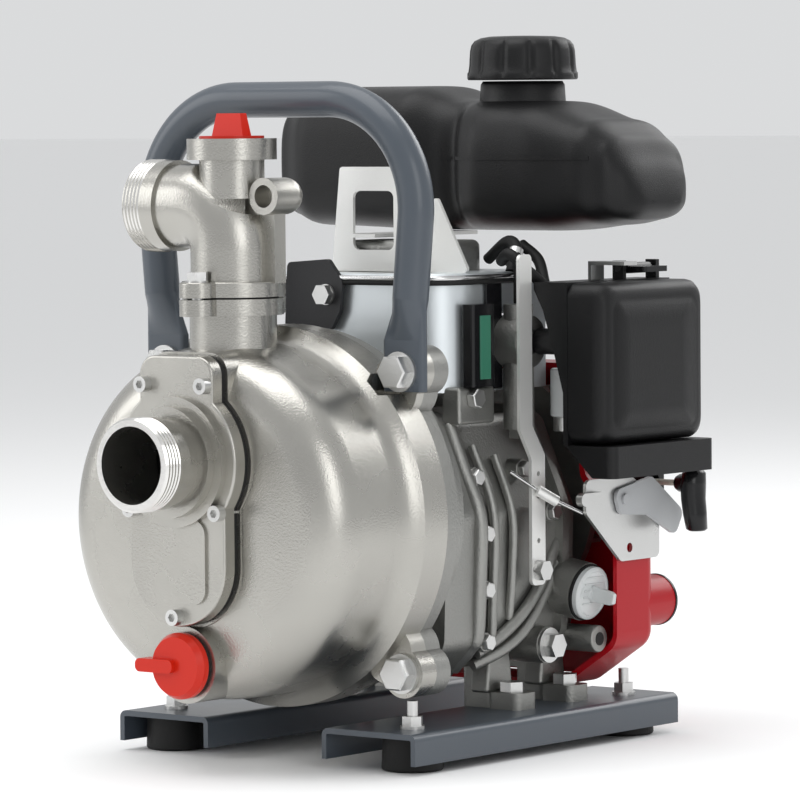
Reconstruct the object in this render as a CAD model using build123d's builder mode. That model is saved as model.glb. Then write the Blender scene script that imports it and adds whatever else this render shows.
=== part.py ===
"""Portable self-priming fire pump driven by a small four-stroke engine.

Millimetres. +X is the air cleaner side, +Y runs from the pump towards the engine, +Z is up.
The origin is on the ground, under the middle of the whole machine.
"""

from build123d import *
from math import cos, radians, sin
import os

os.makedirs("parts", exist_ok=True)

# ---- Driving dimensions -------------------------------------------------------------

SHAFT_Z = 130.0  # height of the crankshaft and pump shaft

CHANNEL_X = 70.0  # middle of each base channel
CHANNEL_Y = 47.0
CHANNEL_WIDTH = 62.0
CHANNEL_LENGTH = 236.0
CHANNEL_TOP = 21.5
CHANNEL_HEIGHT = 16.4
CHANNEL_SHEET = 3.0
FOOT_X = 81.0
FOOT_REACH = 94.5  # from the middle of a channel to a foot
FOOT_RADIUS = 16.4

DRUM_RADIUS = 93.0
DRUM_WALL = 5.0
RIM_RADIUS = 101.0
RIM_FRONT = -61.0
RIM_BACK = -42.0
LUG_X = 80.0
LUG_TOP_Z = 208.0
LUG_LOW_Z = 50.7

PORT_Z = 163.4
PORT_FRONT = -175.0
PORT_RADIUS = 23.9  # G 1 1/2 male thread, outside
PORT_BORE = 20.2
COVER_FRONT = -140.0
COVER_BACK = -132.0
GASKET_BACK = -129.0
LOBE_Z = 110.0
PLUG_Z = 57.5

ELBOW_Y = -93.0
ELBOW_SPLIT = 246.3
ELBOW_RADIUS = 22.0
BRANCH_Z = 294.3
BRANCH_END = -55.5

HANDLE_Y = -51.0
HANDLE_RADIUS = 9.5
HANDLE_TOP = 349.5
HANDLE_HALF = 94.0

ADAPTER_BACK = -12.0
CRANKCASE_FRONT = 12.0
CRANKCASE_BACK = 108.0
CYLINDER_Y = 50.0
CRANK_THROW = 18.0
ROD_LENGTH = 62.0
BORE_RADIUS = 20.9

FOOT_BOLT_YS = (54.0, 102.0)

HEX_10 = 8.0  # half the width across the flats of an M10 bolt head
HEX_8 = 6.0
HEX_6 = 5.0


def facing_front(y, x=0.0, z=0.0):
    """A plane at depth y whose normal looks forwards, so sketches read as X and Z."""
    return Plane(origin=(x, y, z), x_dir=(1, 0, 0), z_dir=(0, -1, 0))


def facing_right(x, y=0.0, z=0.0):
    """A plane at width x whose normal looks along +X, so sketches read as Y and Z."""
    return Plane(origin=(x, y, z), x_dir=(0, 1, 0), z_dir=(1, 0, 0))


def level(z, x=0.0, y=0.0):
    """A horizontal plane at height z."""
    return Plane(origin=(x, y, z))


def polar(radius, degrees):
    """A point of the plane at this radius and angle."""
    return (radius * cos(radians(degrees)), radius * sin(radians(degrees)))


def turned(y, x, z, degrees):
    """A front-facing plane whose sketch is turned by degrees about its own normal."""
    across = (cos(radians(degrees)), 0, sin(radians(degrees)))
    return Plane(origin=(x, y, z), x_dir=across, z_dir=(0, -1, 0))


SHAFT = Axis((0, 0, SHAFT_Z), (0, 1, 0))
FEET = [(sx * FOOT_X, CHANNEL_Y + sy * FOOT_REACH) for sx in (-1, 1) for sy in (-1, 1)]
LUGS = [(sx * LUG_X, z) for sx in (-1, 1) for z in (LUG_TOP_Z, LUG_LOW_Z)]
ENGINE_FEET = [(sx * CHANNEL_X, y) for sx in (-1, 1) for y in FOOT_BOLT_YS]

# ---- Base ---------------------------------------------------------------------------

with BuildPart() as base_channels:
    for side in (-1, 1):
        with BuildSketch(facing_front(CHANNEL_Y, x=side * CHANNEL_X)) as section:
            with Locations((0, CHANNEL_TOP - CHANNEL_HEIGHT / 2)):
                Rectangle(CHANNEL_WIDTH, CHANNEL_HEIGHT)
            fillet(section.vertices().group_by(Axis.Y)[-1], CHANNEL_SHEET + 1)
            with Locations((0, CHANNEL_TOP - CHANNEL_SHEET - CHANNEL_HEIGHT / 2)):
                RectangleRounded(
                    CHANNEL_WIDTH - 2 * CHANNEL_SHEET, CHANNEL_HEIGHT, 1, mode=Mode.SUBTRACT
                )
        extrude(amount=CHANNEL_LENGTH / 2, both=True)
    with BuildSketch(level(CHANNEL_TOP)):
        with Locations(*FEET):
            Circle(3.3)
        with Locations(*ENGINE_FEET):
            Circle(4.3)
    extrude(amount=-CHANNEL_SHEET, mode=Mode.SUBTRACT)
base_channels.part.label = "base_channels"
export_step(base_channels.part, "parts/base_channels.step")

with BuildPart() as rubber_feet:
    for x, y in FEET:
        with BuildSketch(level(0, x, y)):
            Circle(FOOT_RADIUS)
        extrude(amount=CHANNEL_TOP - CHANNEL_SHEET, taper=2)
        with BuildSketch(level(CHANNEL_TOP - CHANNEL_SHEET, x, y)):
            Circle(3)
        extrude(amount=-10, mode=Mode.SUBTRACT)
    fillet(rubber_feet.edges().group_by(Axis.Z)[0], 1.5)
rubber_feet.part.label = "rubber_feet"
export_step(rubber_feet.part, "parts/rubber_feet.step")

# Studs moulded into the feet with flange nuts, and bolts through the engine feet.
MOUNT_PAD = 9.0

with BuildPart() as base_fasteners:
    for x, y in FEET:
        with BuildSketch(level(CHANNEL_TOP, x, y)):
            Circle(6.4)
        extrude(amount=1.6)
        with BuildSketch(level(CHANNEL_TOP + 1.6, x, y)):
            RegularPolygon(HEX_6, 6, major_radius=False)
        extrude(amount=5)
        with BuildSketch(level(CHANNEL_TOP, x, y)):
            Circle(3)
        extrude(amount=7, mode=Mode.SUBTRACT)
        with BuildSketch(level(CHANNEL_TOP - CHANNEL_SHEET - 10, x, y)):
            Circle(2.9)
        extrude(amount=27.5)
    for x, y in ENGINE_FEET:
        with BuildSketch(level(CHANNEL_TOP + MOUNT_PAD, x, y)):
            RegularPolygon(HEX_8, 6, major_radius=False)
        extrude(amount=5.5)
        with BuildSketch(level(CHANNEL_TOP + MOUNT_PAD, x, y)):
            Circle(3.95)
        extrude(amount=-18)
        with BuildSketch(level(CHANNEL_TOP - CHANNEL_SHEET, x, y)):
            RegularPolygon(HEX_8, 6, major_radius=False)
        extrude(amount=-6)
base_fasteners.part.label = "base_fasteners"
export_step(base_fasteners.part, "parts/base_fasteners.step")

# ---- Pump casing --------------------------------------------------------------------


def cover_outline(margin):
    """Outline of the suction cover, grown by margin, in X and Z about the shaft plane."""
    with BuildSketch() as outline:
        with Locations((0, PORT_Z)):
            Circle(39.5)
        with Locations((0, LOBE_Z)):
            Circle(32)
        with Locations((0, (PORT_Z + LOBE_Z) / 2)):
            Rectangle(64, PORT_Z - LOBE_Z)
        with Locations((0, 196)):
            RectangleRounded(49, 44, 10)
        offset(amount=margin)
    return outline.sketch


with BuildPart() as pump_casing:
    with BuildSketch(Plane.YZ) as drum:
        with BuildLine():
            front = TangentArc((-129, SHAFT_Z), (-126.5, SHAFT_Z + 70), tangent=(0, 1))
            edge = RadiusArc(front @ 1, (-103, SHAFT_Z + DRUM_RADIUS), 24)
            side_line = Line(edge @ 1, (-76, SHAFT_Z + DRUM_RADIUS + 0.6))
            flare = Spline(
                side_line @ 1,
                (RIM_FRONT, SHAFT_Z + RIM_RADIUS),
                tangents=((1, 0.02), (0.7, 0.7)),
            )
            Polyline(
                flare @ 1,
                (RIM_BACK, SHAFT_Z + RIM_RADIUS),
                (RIM_BACK, SHAFT_Z),
                front @ 0,
            )
        make_face()
    revolve(axis=SHAFT)
    with BuildSketch(facing_front(GASKET_BACK)):
        add(cover_outline(1.5))
    extrude(amount=-16)
    for x, z in LUGS:
        ear_front = -48 if z > SHAFT_Z else -54
        with BuildSketch(facing_front(ear_front, x, z)):
            Circle(13)
            with Locations((-x / 8, (SHAFT_Z - z) / 8)):
                Circle(16)
        extrude(amount=ear_front - RIM_BACK)
        if z > SHAFT_Z:
            with BuildSketch(facing_front(ear_front, x, z + 4)):
                Rectangle(29, 32)
            extrude(amount=16, mode=Mode.SUBTRACT)
    with BuildSketch(level(200, 0, ELBOW_Y)):
        Circle(22.8)
    extrude(amount=ELBOW_SPLIT - 200)
    with BuildSketch(level(ELBOW_SPLIT, 0, ELBOW_Y)) as lower_flange:
        Circle(26.5)
        with Locations((0, 28.5), (0, -28.5)):
            Circle(9.5)
        with Locations((0, 0)):
            Rectangle(19, 55)
    extrude(amount=-8.6)
    with BuildSketch(facing_front(-134, 0, PLUG_Z)):
        Circle(20)
    extrude(amount=-30)
    with BuildSketch(Plane.YZ) as hollow:
        with BuildLine():
            front = TangentArc((-123, SHAFT_Z), (-120.5, SHAFT_Z + 67), tangent=(0, 1))
            edge = RadiusArc(front @ 1, (-102, SHAFT_Z + DRUM_RADIUS - DRUM_WALL), 19)
            Polyline(
                edge @ 1,
                (RIM_BACK, SHAFT_Z + DRUM_RADIUS - DRUM_WALL),
                (RIM_BACK, SHAFT_Z),
                front @ 0,
            )
        make_face()
    revolve(axis=SHAFT, mode=Mode.SUBTRACT)
    with BuildSketch(facing_front(GASKET_BACK, 0, PORT_Z)):
        Circle(28.5)
    extrude(amount=-20, mode=Mode.SUBTRACT)
    with BuildSketch(level(ELBOW_SPLIT, 0, ELBOW_Y)):
        Circle(18)
    extrude(amount=-50, mode=Mode.SUBTRACT)
    with BuildSketch(level(ELBOW_SPLIT, 0, ELBOW_Y)):
        with Locations((0, 28.5), (0, -28.5)):
            Circle(3.1)
    extrude(amount=-8.6, mode=Mode.SUBTRACT)
    with BuildSketch(facing_front(-134, 0, PLUG_Z)):
        Circle(13.2)
    extrude(amount=-30, mode=Mode.SUBTRACT)
    with BuildSketch(facing_front(-54)):
        with Locations(*LUGS):
            Circle(5.2)
    extrude(amount=-20, mode=Mode.SUBTRACT)
    screw_points = [(-20.3, 203), (20.3, 203), (-29, 138), (29, 138), (0, 83)]
    with BuildSketch(facing_front(GASKET_BACK)):
        with Locations(*screw_points):
            Circle(2.4)
    extrude(amount=-11, mode=Mode.SUBTRACT)
pump_casing.part.label = "pump_casing"
export_step(pump_casing.part, "parts/pump_casing.step")

with BuildPart() as pump_gaskets:
    with BuildSketch(facing_front(COVER_BACK)):
        add(cover_outline(-0.5))
        with Locations((0, PORT_Z)):
            Circle(21, mode=Mode.SUBTRACT)
        with Locations(*screw_points):
            Circle(2.6, mode=Mode.SUBTRACT)
    extrude(amount=COVER_BACK - GASKET_BACK)
    with BuildSketch(level(ELBOW_SPLIT, 0, ELBOW_Y)):
        Circle(24)
        Circle(18.2, mode=Mode.SUBTRACT)
    extrude(amount=1)
pump_gaskets.part.label = "pump_gaskets"
export_step(pump_gaskets.part, "parts/pump_gaskets.step")

with BuildPart() as suction_cover:
    with BuildSketch(facing_front(COVER_BACK)):
        add(cover_outline(0))
    extrude(amount=COVER_BACK - COVER_FRONT)
    fillet(suction_cover.edges().group_by(Axis.Y)[0], 1.2)
    for radius, front in ((34, -144), (29, -149), (22.3, -156), (PORT_RADIUS, PORT_FRONT)):
        back = -156 if radius == PORT_RADIUS else COVER_FRONT + 1
        with BuildSketch(facing_front(back, 0, PORT_Z)):
            Circle(radius)
        extrude(amount=back - front)
    with BuildSketch(facing_front(COVER_FRONT + 1, 0, LOBE_Z + 2)):
        RectangleRounded(40, 44, 8)
    extrude(amount=2.5)
    chamfer(suction_cover.edges().group_by(Axis.Y)[0], 0.8)
    with BuildSketch(facing_front(PORT_FRONT, 0, PORT_Z)):
        Circle(PORT_BORE)
    extrude(amount=PORT_FRONT - COVER_BACK, mode=Mode.SUBTRACT)
    with BuildSketch(facing_front(COVER_FRONT)):
        with Locations(*screw_points):
            Circle(2.6)
    extrude(amount=COVER_FRONT - COVER_BACK, mode=Mode.SUBTRACT)
suction_cover.part.label = "suction_cover"
export_step(suction_cover.part, "parts/suction_cover.step")

with BuildPart() as suction_cover_screws:
    for x, z in screw_points:
        with BuildSketch(facing_front(COVER_FRONT, x, z)):
            Circle(4.2)
        extrude(amount=5)
        with BuildSketch(facing_front(COVER_FRONT - 5, x, z)):
            RegularPolygon(2, 6, major_radius=False)
        extrude(amount=-2.5, mode=Mode.SUBTRACT)
        with BuildSketch(facing_front(COVER_FRONT, x, z)):
            Circle(2.35)
        extrude(amount=-18)
suction_cover_screws.part.label = "suction_cover_screws"
export_step(suction_cover_screws.part, "parts/suction_cover_screws.step")

# Rubber flap with a weight moulded in: it hangs from a thin tab and shuts the port bore.
with BuildPart() as suction_flap:
    with BuildSketch(facing_front(GASKET_BACK + 3.4, 0, PORT_Z)):
        Circle(24)
        with Locations((0, 24)):
            Rectangle(20, 4)
    extrude(amount=3.2)
    with BuildSketch(facing_front(GASKET_BACK + 3.4, 0, PORT_Z)):
        Circle(16)
    extrude(amount=-3)
suction_flap.part.label = "suction_flap"
export_step(suction_flap.part, "parts/suction_flap.step")

# ---- Discharge elbow ----------------------------------------------------------------

with BuildPart() as discharge_elbow:
    with BuildSketch(level(ELBOW_SPLIT + 1, 0, ELBOW_Y)):
        Circle(27)
        with Locations((0, 28.5), (0, -28.5)):
            Circle(9.5)
        Rectangle(19, 55)
    extrude(amount=8)
    fillet(discharge_elbow.edges().group_by(Axis.Z)[-1], 1)
    with BuildLine(Plane.XZ.offset(-ELBOW_Y)) as bend:
        FilletPolyline((0, ELBOW_SPLIT + 5), (0, BRANCH_Z), (BRANCH_END + 20, BRANCH_Z), radius=23)
    with BuildSketch(level(ELBOW_SPLIT + 5, 0, ELBOW_Y)):
        Circle(ELBOW_RADIUS)
    sweep(path=bend.wires()[0])
    with BuildSketch(facing_right(BRANCH_END, ELBOW_Y, BRANCH_Z)):
        Circle(PORT_RADIUS)
    extrude(amount=20)
    with BuildSketch(level(BRANCH_Z, 0, ELBOW_Y)):
        Circle(17)
    extrude(amount=25)
    with BuildSketch(level(318.4, 0, ELBOW_Y)):
        Circle(23.5)
    extrude(amount=11)
    with BuildSketch(facing_front(-82, 26, 299.4)):
        Circle(9.6)
    extrude(amount=17)
    with Locations((26, -82, 299.4)):
        Sphere(9.6)
    with BuildSketch(level(ELBOW_SPLIT + 8, 20, ELBOW_Y + 5)):
        Rectangle(16, 9)
    extrude(amount=45)
    with BuildSketch(facing_right(BRANCH_END, ELBOW_Y, BRANCH_Z)):
        Circle(19.5)
    extrude(amount=50, mode=Mode.SUBTRACT)
    with BuildSketch(level(ELBOW_SPLIT, 0, ELBOW_Y)):
        Circle(18)
    extrude(amount=52, mode=Mode.SUBTRACT)
    with BuildSketch(level(329.4, 0, ELBOW_Y)):
        Circle(13)
    extrude(amount=-40, mode=Mode.SUBTRACT)
    with BuildSketch(level(329.4, 0, ELBOW_Y)):
        Circle(17.6)
    extrude(amount=-4, mode=Mode.SUBTRACT)
    with BuildSketch(facing_front(-99, 26, 299.4)):
        Circle(5.9)
    extrude(amount=-12, mode=Mode.SUBTRACT)
    with BuildSketch(level(ELBOW_SPLIT, 0, ELBOW_Y)):
        with Locations((0, 28.5), (0, -28.5)):
            Circle(3.1)
    extrude(amount=9, mode=Mode.SUBTRACT)
discharge_elbow.part.label = "discharge_elbow"
export_step(discharge_elbow.part, "parts/discharge_elbow.step")

# Both screw plugs turn on a coarse thread and seal on a rubber ring under the head.
with BuildPart() as priming_plug:
    with BuildSketch(level(327.4, 0, ELBOW_Y)):
        Circle(17)
    extrude(amount=3.4)
    with BuildSketch(level(327.4, 0, ELBOW_Y)):
        Circle(12.9)
    extrude(amount=-16)
    with BuildSketch(level(330.8, 0, ELBOW_Y)):
        Rectangle(21, 7)
    with BuildSketch(level(342.5, 0, ELBOW_Y)):
        Rectangle(16, 5)
    loft()
priming_plug.part.label = "priming_plug"
export_step(priming_plug.part, "parts/priming_plug.step")

with BuildPart() as drain_plug:
    with BuildSketch(facing_front(-136, 0, PLUG_Z)):
        Circle(17.3)
    extrude(amount=3.5)
    with BuildSketch(facing_front(-139.5, 0, PLUG_Z)):
        Circle(17.3)
    extrude(amount=3.5, taper=30)
    with BuildSketch(facing_front(-136, 0, PLUG_Z)):
        Circle(13.1)
    extrude(amount=-18)
    with BuildSketch(facing_front(-137, -12, PLUG_Z)):
        RectangleRounded(25, 7, 3)
    extrude(amount=9)
drain_plug.part.label = "drain_plug"
export_step(drain_plug.part, "parts/drain_plug.step")

# ---- Pump insides -------------------------------------------------------------------

with BuildPart() as impeller:
    with BuildSketch(facing_front(-68, 0, SHAFT_Z)):
        Circle(59)
    extrude(amount=3)
    for blade in range(6):
        with BuildSketch(turned(-71, 0, SHAFT_Z, 60 * blade)):
            with BuildLine():
                ThreePointArc((14, 0), (36, 12), (57, 0))
                ThreePointArc((57, 0), (36, 8), (14, 0))
            make_face()
        extrude(amount=8)
    with BuildSketch(facing_front(-79, 0, SHAFT_Z)):
        Circle(59)
        Circle(24, mode=Mode.SUBTRACT)
    extrude(amount=3)
    with BuildSketch(facing_front(-60, 0, SHAFT_Z)):
        Circle(12)
    extrude(amount=26)
    with BuildSketch(facing_front(-60, 0, SHAFT_Z)):
        Circle(7)
    extrude(amount=30, mode=Mode.SUBTRACT)
impeller.part.label = "impeller"
export_step(impeller.part, "parts/impeller.step")

# Ring of the spiral case round the impeller, with its throat open at the top.
with BuildPart() as volute:
    with BuildSketch(facing_front(-62, 0, SHAFT_Z)):
        Circle(74)
        Circle(64, mode=Mode.SUBTRACT)
    extrude(amount=29)
    with BuildSketch(facing_front(-87.5, 0, SHAFT_Z)):
        Circle(74)
        Circle(23, mode=Mode.SUBTRACT)
    extrude(amount=3.5)
    with BuildSketch(facing_front(-64, 30, SHAFT_Z + 66)):
        Rectangle(36, 24)
    extrude(amount=22, mode=Mode.SUBTRACT)
volute.part.label = "volute"
export_step(volute.part, "parts/volute.step")

with BuildPart() as seal_head:
    with BuildSketch(facing_front(-60.1, 0, SHAFT_Z)):
        Circle(17)
        Circle(12, mode=Mode.SUBTRACT)
    extrude(amount=7.9)
seal_head.part.label = "seal_head"
export_step(seal_head.part, "parts/seal_head.step")

with BuildPart() as pump_adapter:
    with BuildSketch(Plane.YZ):
        with BuildLine():
            Polyline(
                (-62, SHAFT_Z + 19),
                (-62, SHAFT_Z + 76),
                (-52, SHAFT_Z + 76),
                (-52, SHAFT_Z + 87.8),
                (RIM_BACK, SHAFT_Z + 87.8),
                (RIM_BACK, SHAFT_Z + 99),
                (-30, SHAFT_Z + 99),
                (-28, SHAFT_Z + 88),
                (-22, SHAFT_Z + 84),
                (ADAPTER_BACK, SHAFT_Z + 84),
                (ADAPTER_BACK, SHAFT_Z + 70),
                (-36, SHAFT_Z + 70),
                (-36, SHAFT_Z + 12),
                (-52, SHAFT_Z + 12),
                (-52, SHAFT_Z + 19),
                close=True,
            )
        make_face()
    revolve(axis=SHAFT)
    for x, z in LUGS:
        with BuildSketch(facing_front(RIM_BACK, x, z)):
            Circle(13)
            with Locations((-x / 8, (SHAFT_Z - z) / 8)):
                Circle(16)
        extrude(amount=-12)
    with BuildSketch(facing_front(RIM_BACK)):
        with Locations(*LUGS):
            Circle(4.9)
    extrude(amount=-12, mode=Mode.SUBTRACT)
pump_adapter.part.label = "pump_adapter"
export_step(pump_adapter.part, "parts/pump_adapter.step")

with BuildPart() as casing_bolts:
    for x, z in LUGS:
        with BuildSketch(facing_front(-56.02, x, z)):
            RegularPolygon(HEX_10, 6, major_radius=False)
        extrude(amount=7)
        with BuildSketch(facing_front(-56.02, x, z)):
            Circle(4.85)
        extrude(amount=-27)
    chamfer(casing_bolts.edges().group_by(Axis.Y)[0], 0.8)
    for x, z in LUGS:
        with BuildSketch(facing_front(-54, x, z)):
            Circle(10.5)
            Circle(5.2, mode=Mode.SUBTRACT)
        extrude(amount=2)
casing_bolts.part.label = "casing_bolts"
export_step(casing_bolts.part, "parts/casing_bolts.step")

# The tube is bent in one plane and both its ends are pressed flat for the top bolts.
FLAT_TOP = 224.0
TUBE_END = 246.0
END_X = HANDLE_HALF - (HANDLE_TOP - TUBE_END) * 0.09

with BuildPart() as carry_handle:
    with BuildLine(facing_front(HANDLE_Y)) as bow:
        FilletPolyline(
            (-END_X, TUBE_END),
            (-HANDLE_HALF, HANDLE_TOP),
            (HANDLE_HALF, HANDLE_TOP),
            (END_X, TUBE_END),
            radius=57,
        )
    with BuildSketch(Plane(bow.wires()[0] @ 0, z_dir=bow.wires()[0] % 0)):
        Circle(HANDLE_RADIUS)
        Circle(HANDLE_RADIUS - 2, mode=Mode.SUBTRACT)
    sweep(path=bow.wires()[0])
    for side in (-1, 1):
        mouth = 0 if side < 0 else 1
        with BuildSketch(Plane(bow.wires()[0] @ mouth, z_dir=bow.wires()[0] % mouth)):
            Circle(HANDLE_RADIUS)
        with BuildSketch(level(FLAT_TOP, side * (LUG_X + 1), HANDLE_Y)):
            SlotOverall(27, 6)
        loft()
        with BuildSketch(level(FLAT_TOP, side * (LUG_X + 1), HANDLE_Y)):
            SlotOverall(27, 6)
        extrude(amount=LUG_TOP_Z - 10.4 - FLAT_TOP)
    with BuildSketch(facing_front(HANDLE_Y)):
        with Locations((-LUG_X, LUG_TOP_Z), (LUG_X, LUG_TOP_Z)):
            Circle(5.2)
    extrude(amount=10, both=True, mode=Mode.SUBTRACT)
carry_handle.part.label = "carry_handle"
export_step(carry_handle.part, "parts/carry_handle.step")

# ---- Engine block -------------------------------------------------------------------


def case_outline(inset):
    """Section of the crankcase seen from the front, shrunk by inset."""
    with BuildSketch() as outline:
        with BuildLine():
            FilletPolyline(
                (-62, 60),
                (-44, 44),
                (52, 44),
                (70, 62),
                (72, 128),
                (50, 178),
                (-46, 178),
                (-62, 150),
                radius=8,
                close=True,
            )
        make_face()
        offset(amount=-inset)
    return outline.sketch


OIL_CAP = Plane((72, 100, 84), x_dir=(0, 1, 0), z_dir=(0.94, 0, -0.16))
DRAIN_BOLT = facing_right(76, 78, 54)

with BuildPart() as crankcase:
    with BuildSketch(facing_front(CRANKCASE_FRONT)):
        add(case_outline(0))
    extrude(amount=CRANKCASE_FRONT - CRANKCASE_BACK)
    with BuildSketch(facing_front(CRANKCASE_FRONT)):
        add(case_outline(5))
    extrude(amount=-81, mode=Mode.SUBTRACT)
    for y in (CRANKCASE_FRONT, 92):
        with BuildSketch(facing_front(y)):
            add(case_outline(-5))
            add(case_outline(5), mode=Mode.SUBTRACT)
        extrude(amount=-6)
    for x, y in ENGINE_FEET:
        with BuildSketch(level(CHANNEL_TOP, x, y)):
            RectangleRounded(22, 18, 5)
        extrude(amount=9)
        with BuildSketch(level(CHANNEL_TOP, x * 0.72, y)):
            RectangleRounded(22, 12, 5)
        extrude(amount=36)
    with BuildSketch(level(CHANNEL_TOP)):
        with Locations(*ENGINE_FEET):
            Circle(4.3)
    extrude(amount=9, mode=Mode.SUBTRACT)
    with BuildSketch(facing_front(CRANKCASE_BACK - 24, 0, SHAFT_Z)):
        Circle(27)
    extrude(amount=-24)
    with BuildSketch(OIL_CAP):
        Circle(16)
    extrude(amount=14)
    with BuildSketch(OIL_CAP):
        Circle(11)
    extrude(amount=20, mode=Mode.SUBTRACT)
    with BuildSketch(OIL_CAP):
        Circle(11)
    extrude(amount=-8, mode=Mode.SUBTRACT)
    with BuildSketch(DRAIN_BOLT):
        Circle(10)
    extrude(amount=-20)
    with BuildSketch(DRAIN_BOLT):
        Circle(5)
    extrude(amount=-26, mode=Mode.SUBTRACT)
    with BuildSketch(facing_front(CRANKCASE_BACK, 0, SHAFT_Z)):
        Circle(22)
    extrude(amount=24, mode=Mode.SUBTRACT)
    with BuildSketch(level(180, 0, CYLINDER_Y)):
        Circle(26)
    extrude(amount=-20, mode=Mode.SUBTRACT)
crankcase.part.label = "crankcase"
export_step(crankcase.part, "parts/crankcase.step")

with BuildPart() as crankcase_cover:
    with BuildSketch(facing_front(ADAPTER_BACK)):
        add(case_outline(-5))
    extrude(amount=-(CRANKCASE_FRONT - ADAPTER_BACK))
    with BuildSketch(facing_front(ADAPTER_BACK, 0, SHAFT_Z)):
        Circle(84)
    extrude(amount=-6)
    with BuildSketch(facing_front(CRANKCASE_FRONT)):
        add(case_outline(8))
    extrude(amount=14, mode=Mode.SUBTRACT)
    with BuildSketch(facing_front(CRANKCASE_FRONT, 0, SHAFT_Z)):
        Circle(28)
    extrude(amount=16)
    with BuildSketch(facing_front(ADAPTER_BACK, 0, SHAFT_Z)):
        Circle(14)
    extrude(amount=-40, mode=Mode.SUBTRACT)
    with BuildSketch(facing_front(CRANKCASE_FRONT, 0, SHAFT_Z)):
        Circle(22)
    extrude(amount=12, mode=Mode.SUBTRACT)
    with BuildSketch(facing_front(ADAPTER_BACK, 0, SHAFT_Z)):
        Circle(20)
    extrude(amount=-6, mode=Mode.SUBTRACT)
crankcase_cover.part.label = "crankcase_cover"
export_step(crankcase_cover.part, "parts/crankcase_cover.step")

# Main bearings, drawn as plain rings with running clearance on the shaft.
BEARING_FRONTS = (0.0, 84.0)
MAIN_RADIUS = 12.5

with BuildPart() as crank_bearings:
    for y in BEARING_FRONTS:
        with BuildSketch(facing_front(y, 0, SHAFT_Z)):
            Circle(22)
            Circle(MAIN_RADIUS, mode=Mode.SUBTRACT)
        extrude(amount=-12)
crank_bearings.part.label = "crank_bearings"
export_step(crank_bearings.part, "parts/crank_bearings.step")

# Still parts that seal the turning shaft: the pump's ceramic seat and two lip seals.
with BuildPart() as shaft_seals:
    with BuildSketch(facing_front(-52, 0, SHAFT_Z)):
        Circle(19)
        Circle(11, mode=Mode.SUBTRACT)
    extrude(amount=8)
    for y, radius in ((ADAPTER_BACK, 20), (100, 22)):
        with BuildSketch(facing_front(y, 0, SHAFT_Z)):
            Circle(radius)
            Circle(MAIN_RADIUS, mode=Mode.SUBTRACT)
        extrude(amount=-6)
shaft_seals.part.label = "shaft_seals"
export_step(shaft_seals.part, "parts/shaft_seals.step")

# ---- Running gear -------------------------------------------------------------------

MODULE = 1.25
CRANK_TEETH = 20
CAM_TEETH = 40


def gear_outline(teeth):
    """Straight-sided gear teeth about the origin, with room left between flanks."""
    pitch = MODULE * teeth / 2
    quarter = 90 / teeth
    with BuildSketch() as outline:
        Circle(pitch - 1.2 * MODULE)
        for tooth in range(teeth):
            with BuildLine():
                corners = []
                for r, half in ((pitch - 1.3 * MODULE, 1.25), (pitch, 0.85), (pitch + 0.8 * MODULE, 0.45)):
                    corners.append((r, half * quarter))
                points = [polar(r, 360 * tooth / teeth - a) for r, a in corners]
                points += [polar(r, 360 * tooth / teeth + a) for r, a in reversed(corners)]
                Polyline(*points, close=True)
            make_face()
    return outline.sketch


CAM_ANGLE = 225.0
CAM_REACH = MODULE * (CRANK_TEETH + CAM_TEETH) / 2
CAM_X, CAM_DROP = polar(CAM_REACH, CAM_ANGLE)
CAM_Z = SHAFT_Z + CAM_DROP
GEAR_FRONT = 68.0


with BuildPart() as crankshaft:
    for front, back, radius in (
        (-90, -59.9, 6.95),
        (-59.9, -16, 10),
        (-16, 34, MAIN_RADIUS - 0.04),
        (34, 42, 28),
        (58, 66, 28),
        (66, 78, 10.5),
        (78, 108, MAIN_RADIUS - 0.04),
        (108, 148, 8),
    ):
        with BuildSketch(facing_front(back, 0, SHAFT_Z)):
            Circle(radius)
        extrude(amount=back - front)
    with BuildSketch(facing_front(60, 0, SHAFT_Z + CRANK_THROW)):
        Circle(9)
    extrude(amount=20)
    with BuildSketch(turned(GEAR_FRONT + 8, 0, SHAFT_Z, CAM_ANGLE)):
        add(gear_outline(CRANK_TEETH))
    extrude(amount=7)
crankshaft.part.label = "crankshaft"
export_step(crankshaft.part, "parts/crankshaft.step")

with BuildPart() as camshaft:
    with BuildSketch(facing_front(92.5, CAM_X, CAM_Z)):
        Circle(5)
    extrude(amount=78)
    with BuildSketch(turned(GEAR_FRONT + 8, CAM_X, CAM_Z, CAM_ANGLE + 180 + 180 / CAM_TEETH)):
        add(gear_outline(CAM_TEETH))
    extrude(amount=7)
    for back, lift_angle in ((50, 60), (60, 170)):
        with BuildSketch(turned(back, CAM_X, CAM_Z, lift_angle)):
            Circle(5.6)
            with Locations((3.4, 0)):
                Circle(4)
        extrude(amount=6)
camshaft.part.label = "camshaft"
export_step(camshaft.part, "parts/camshaft.step")

PIN_Z = SHAFT_Z + CRANK_THROW + ROD_LENGTH

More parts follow.
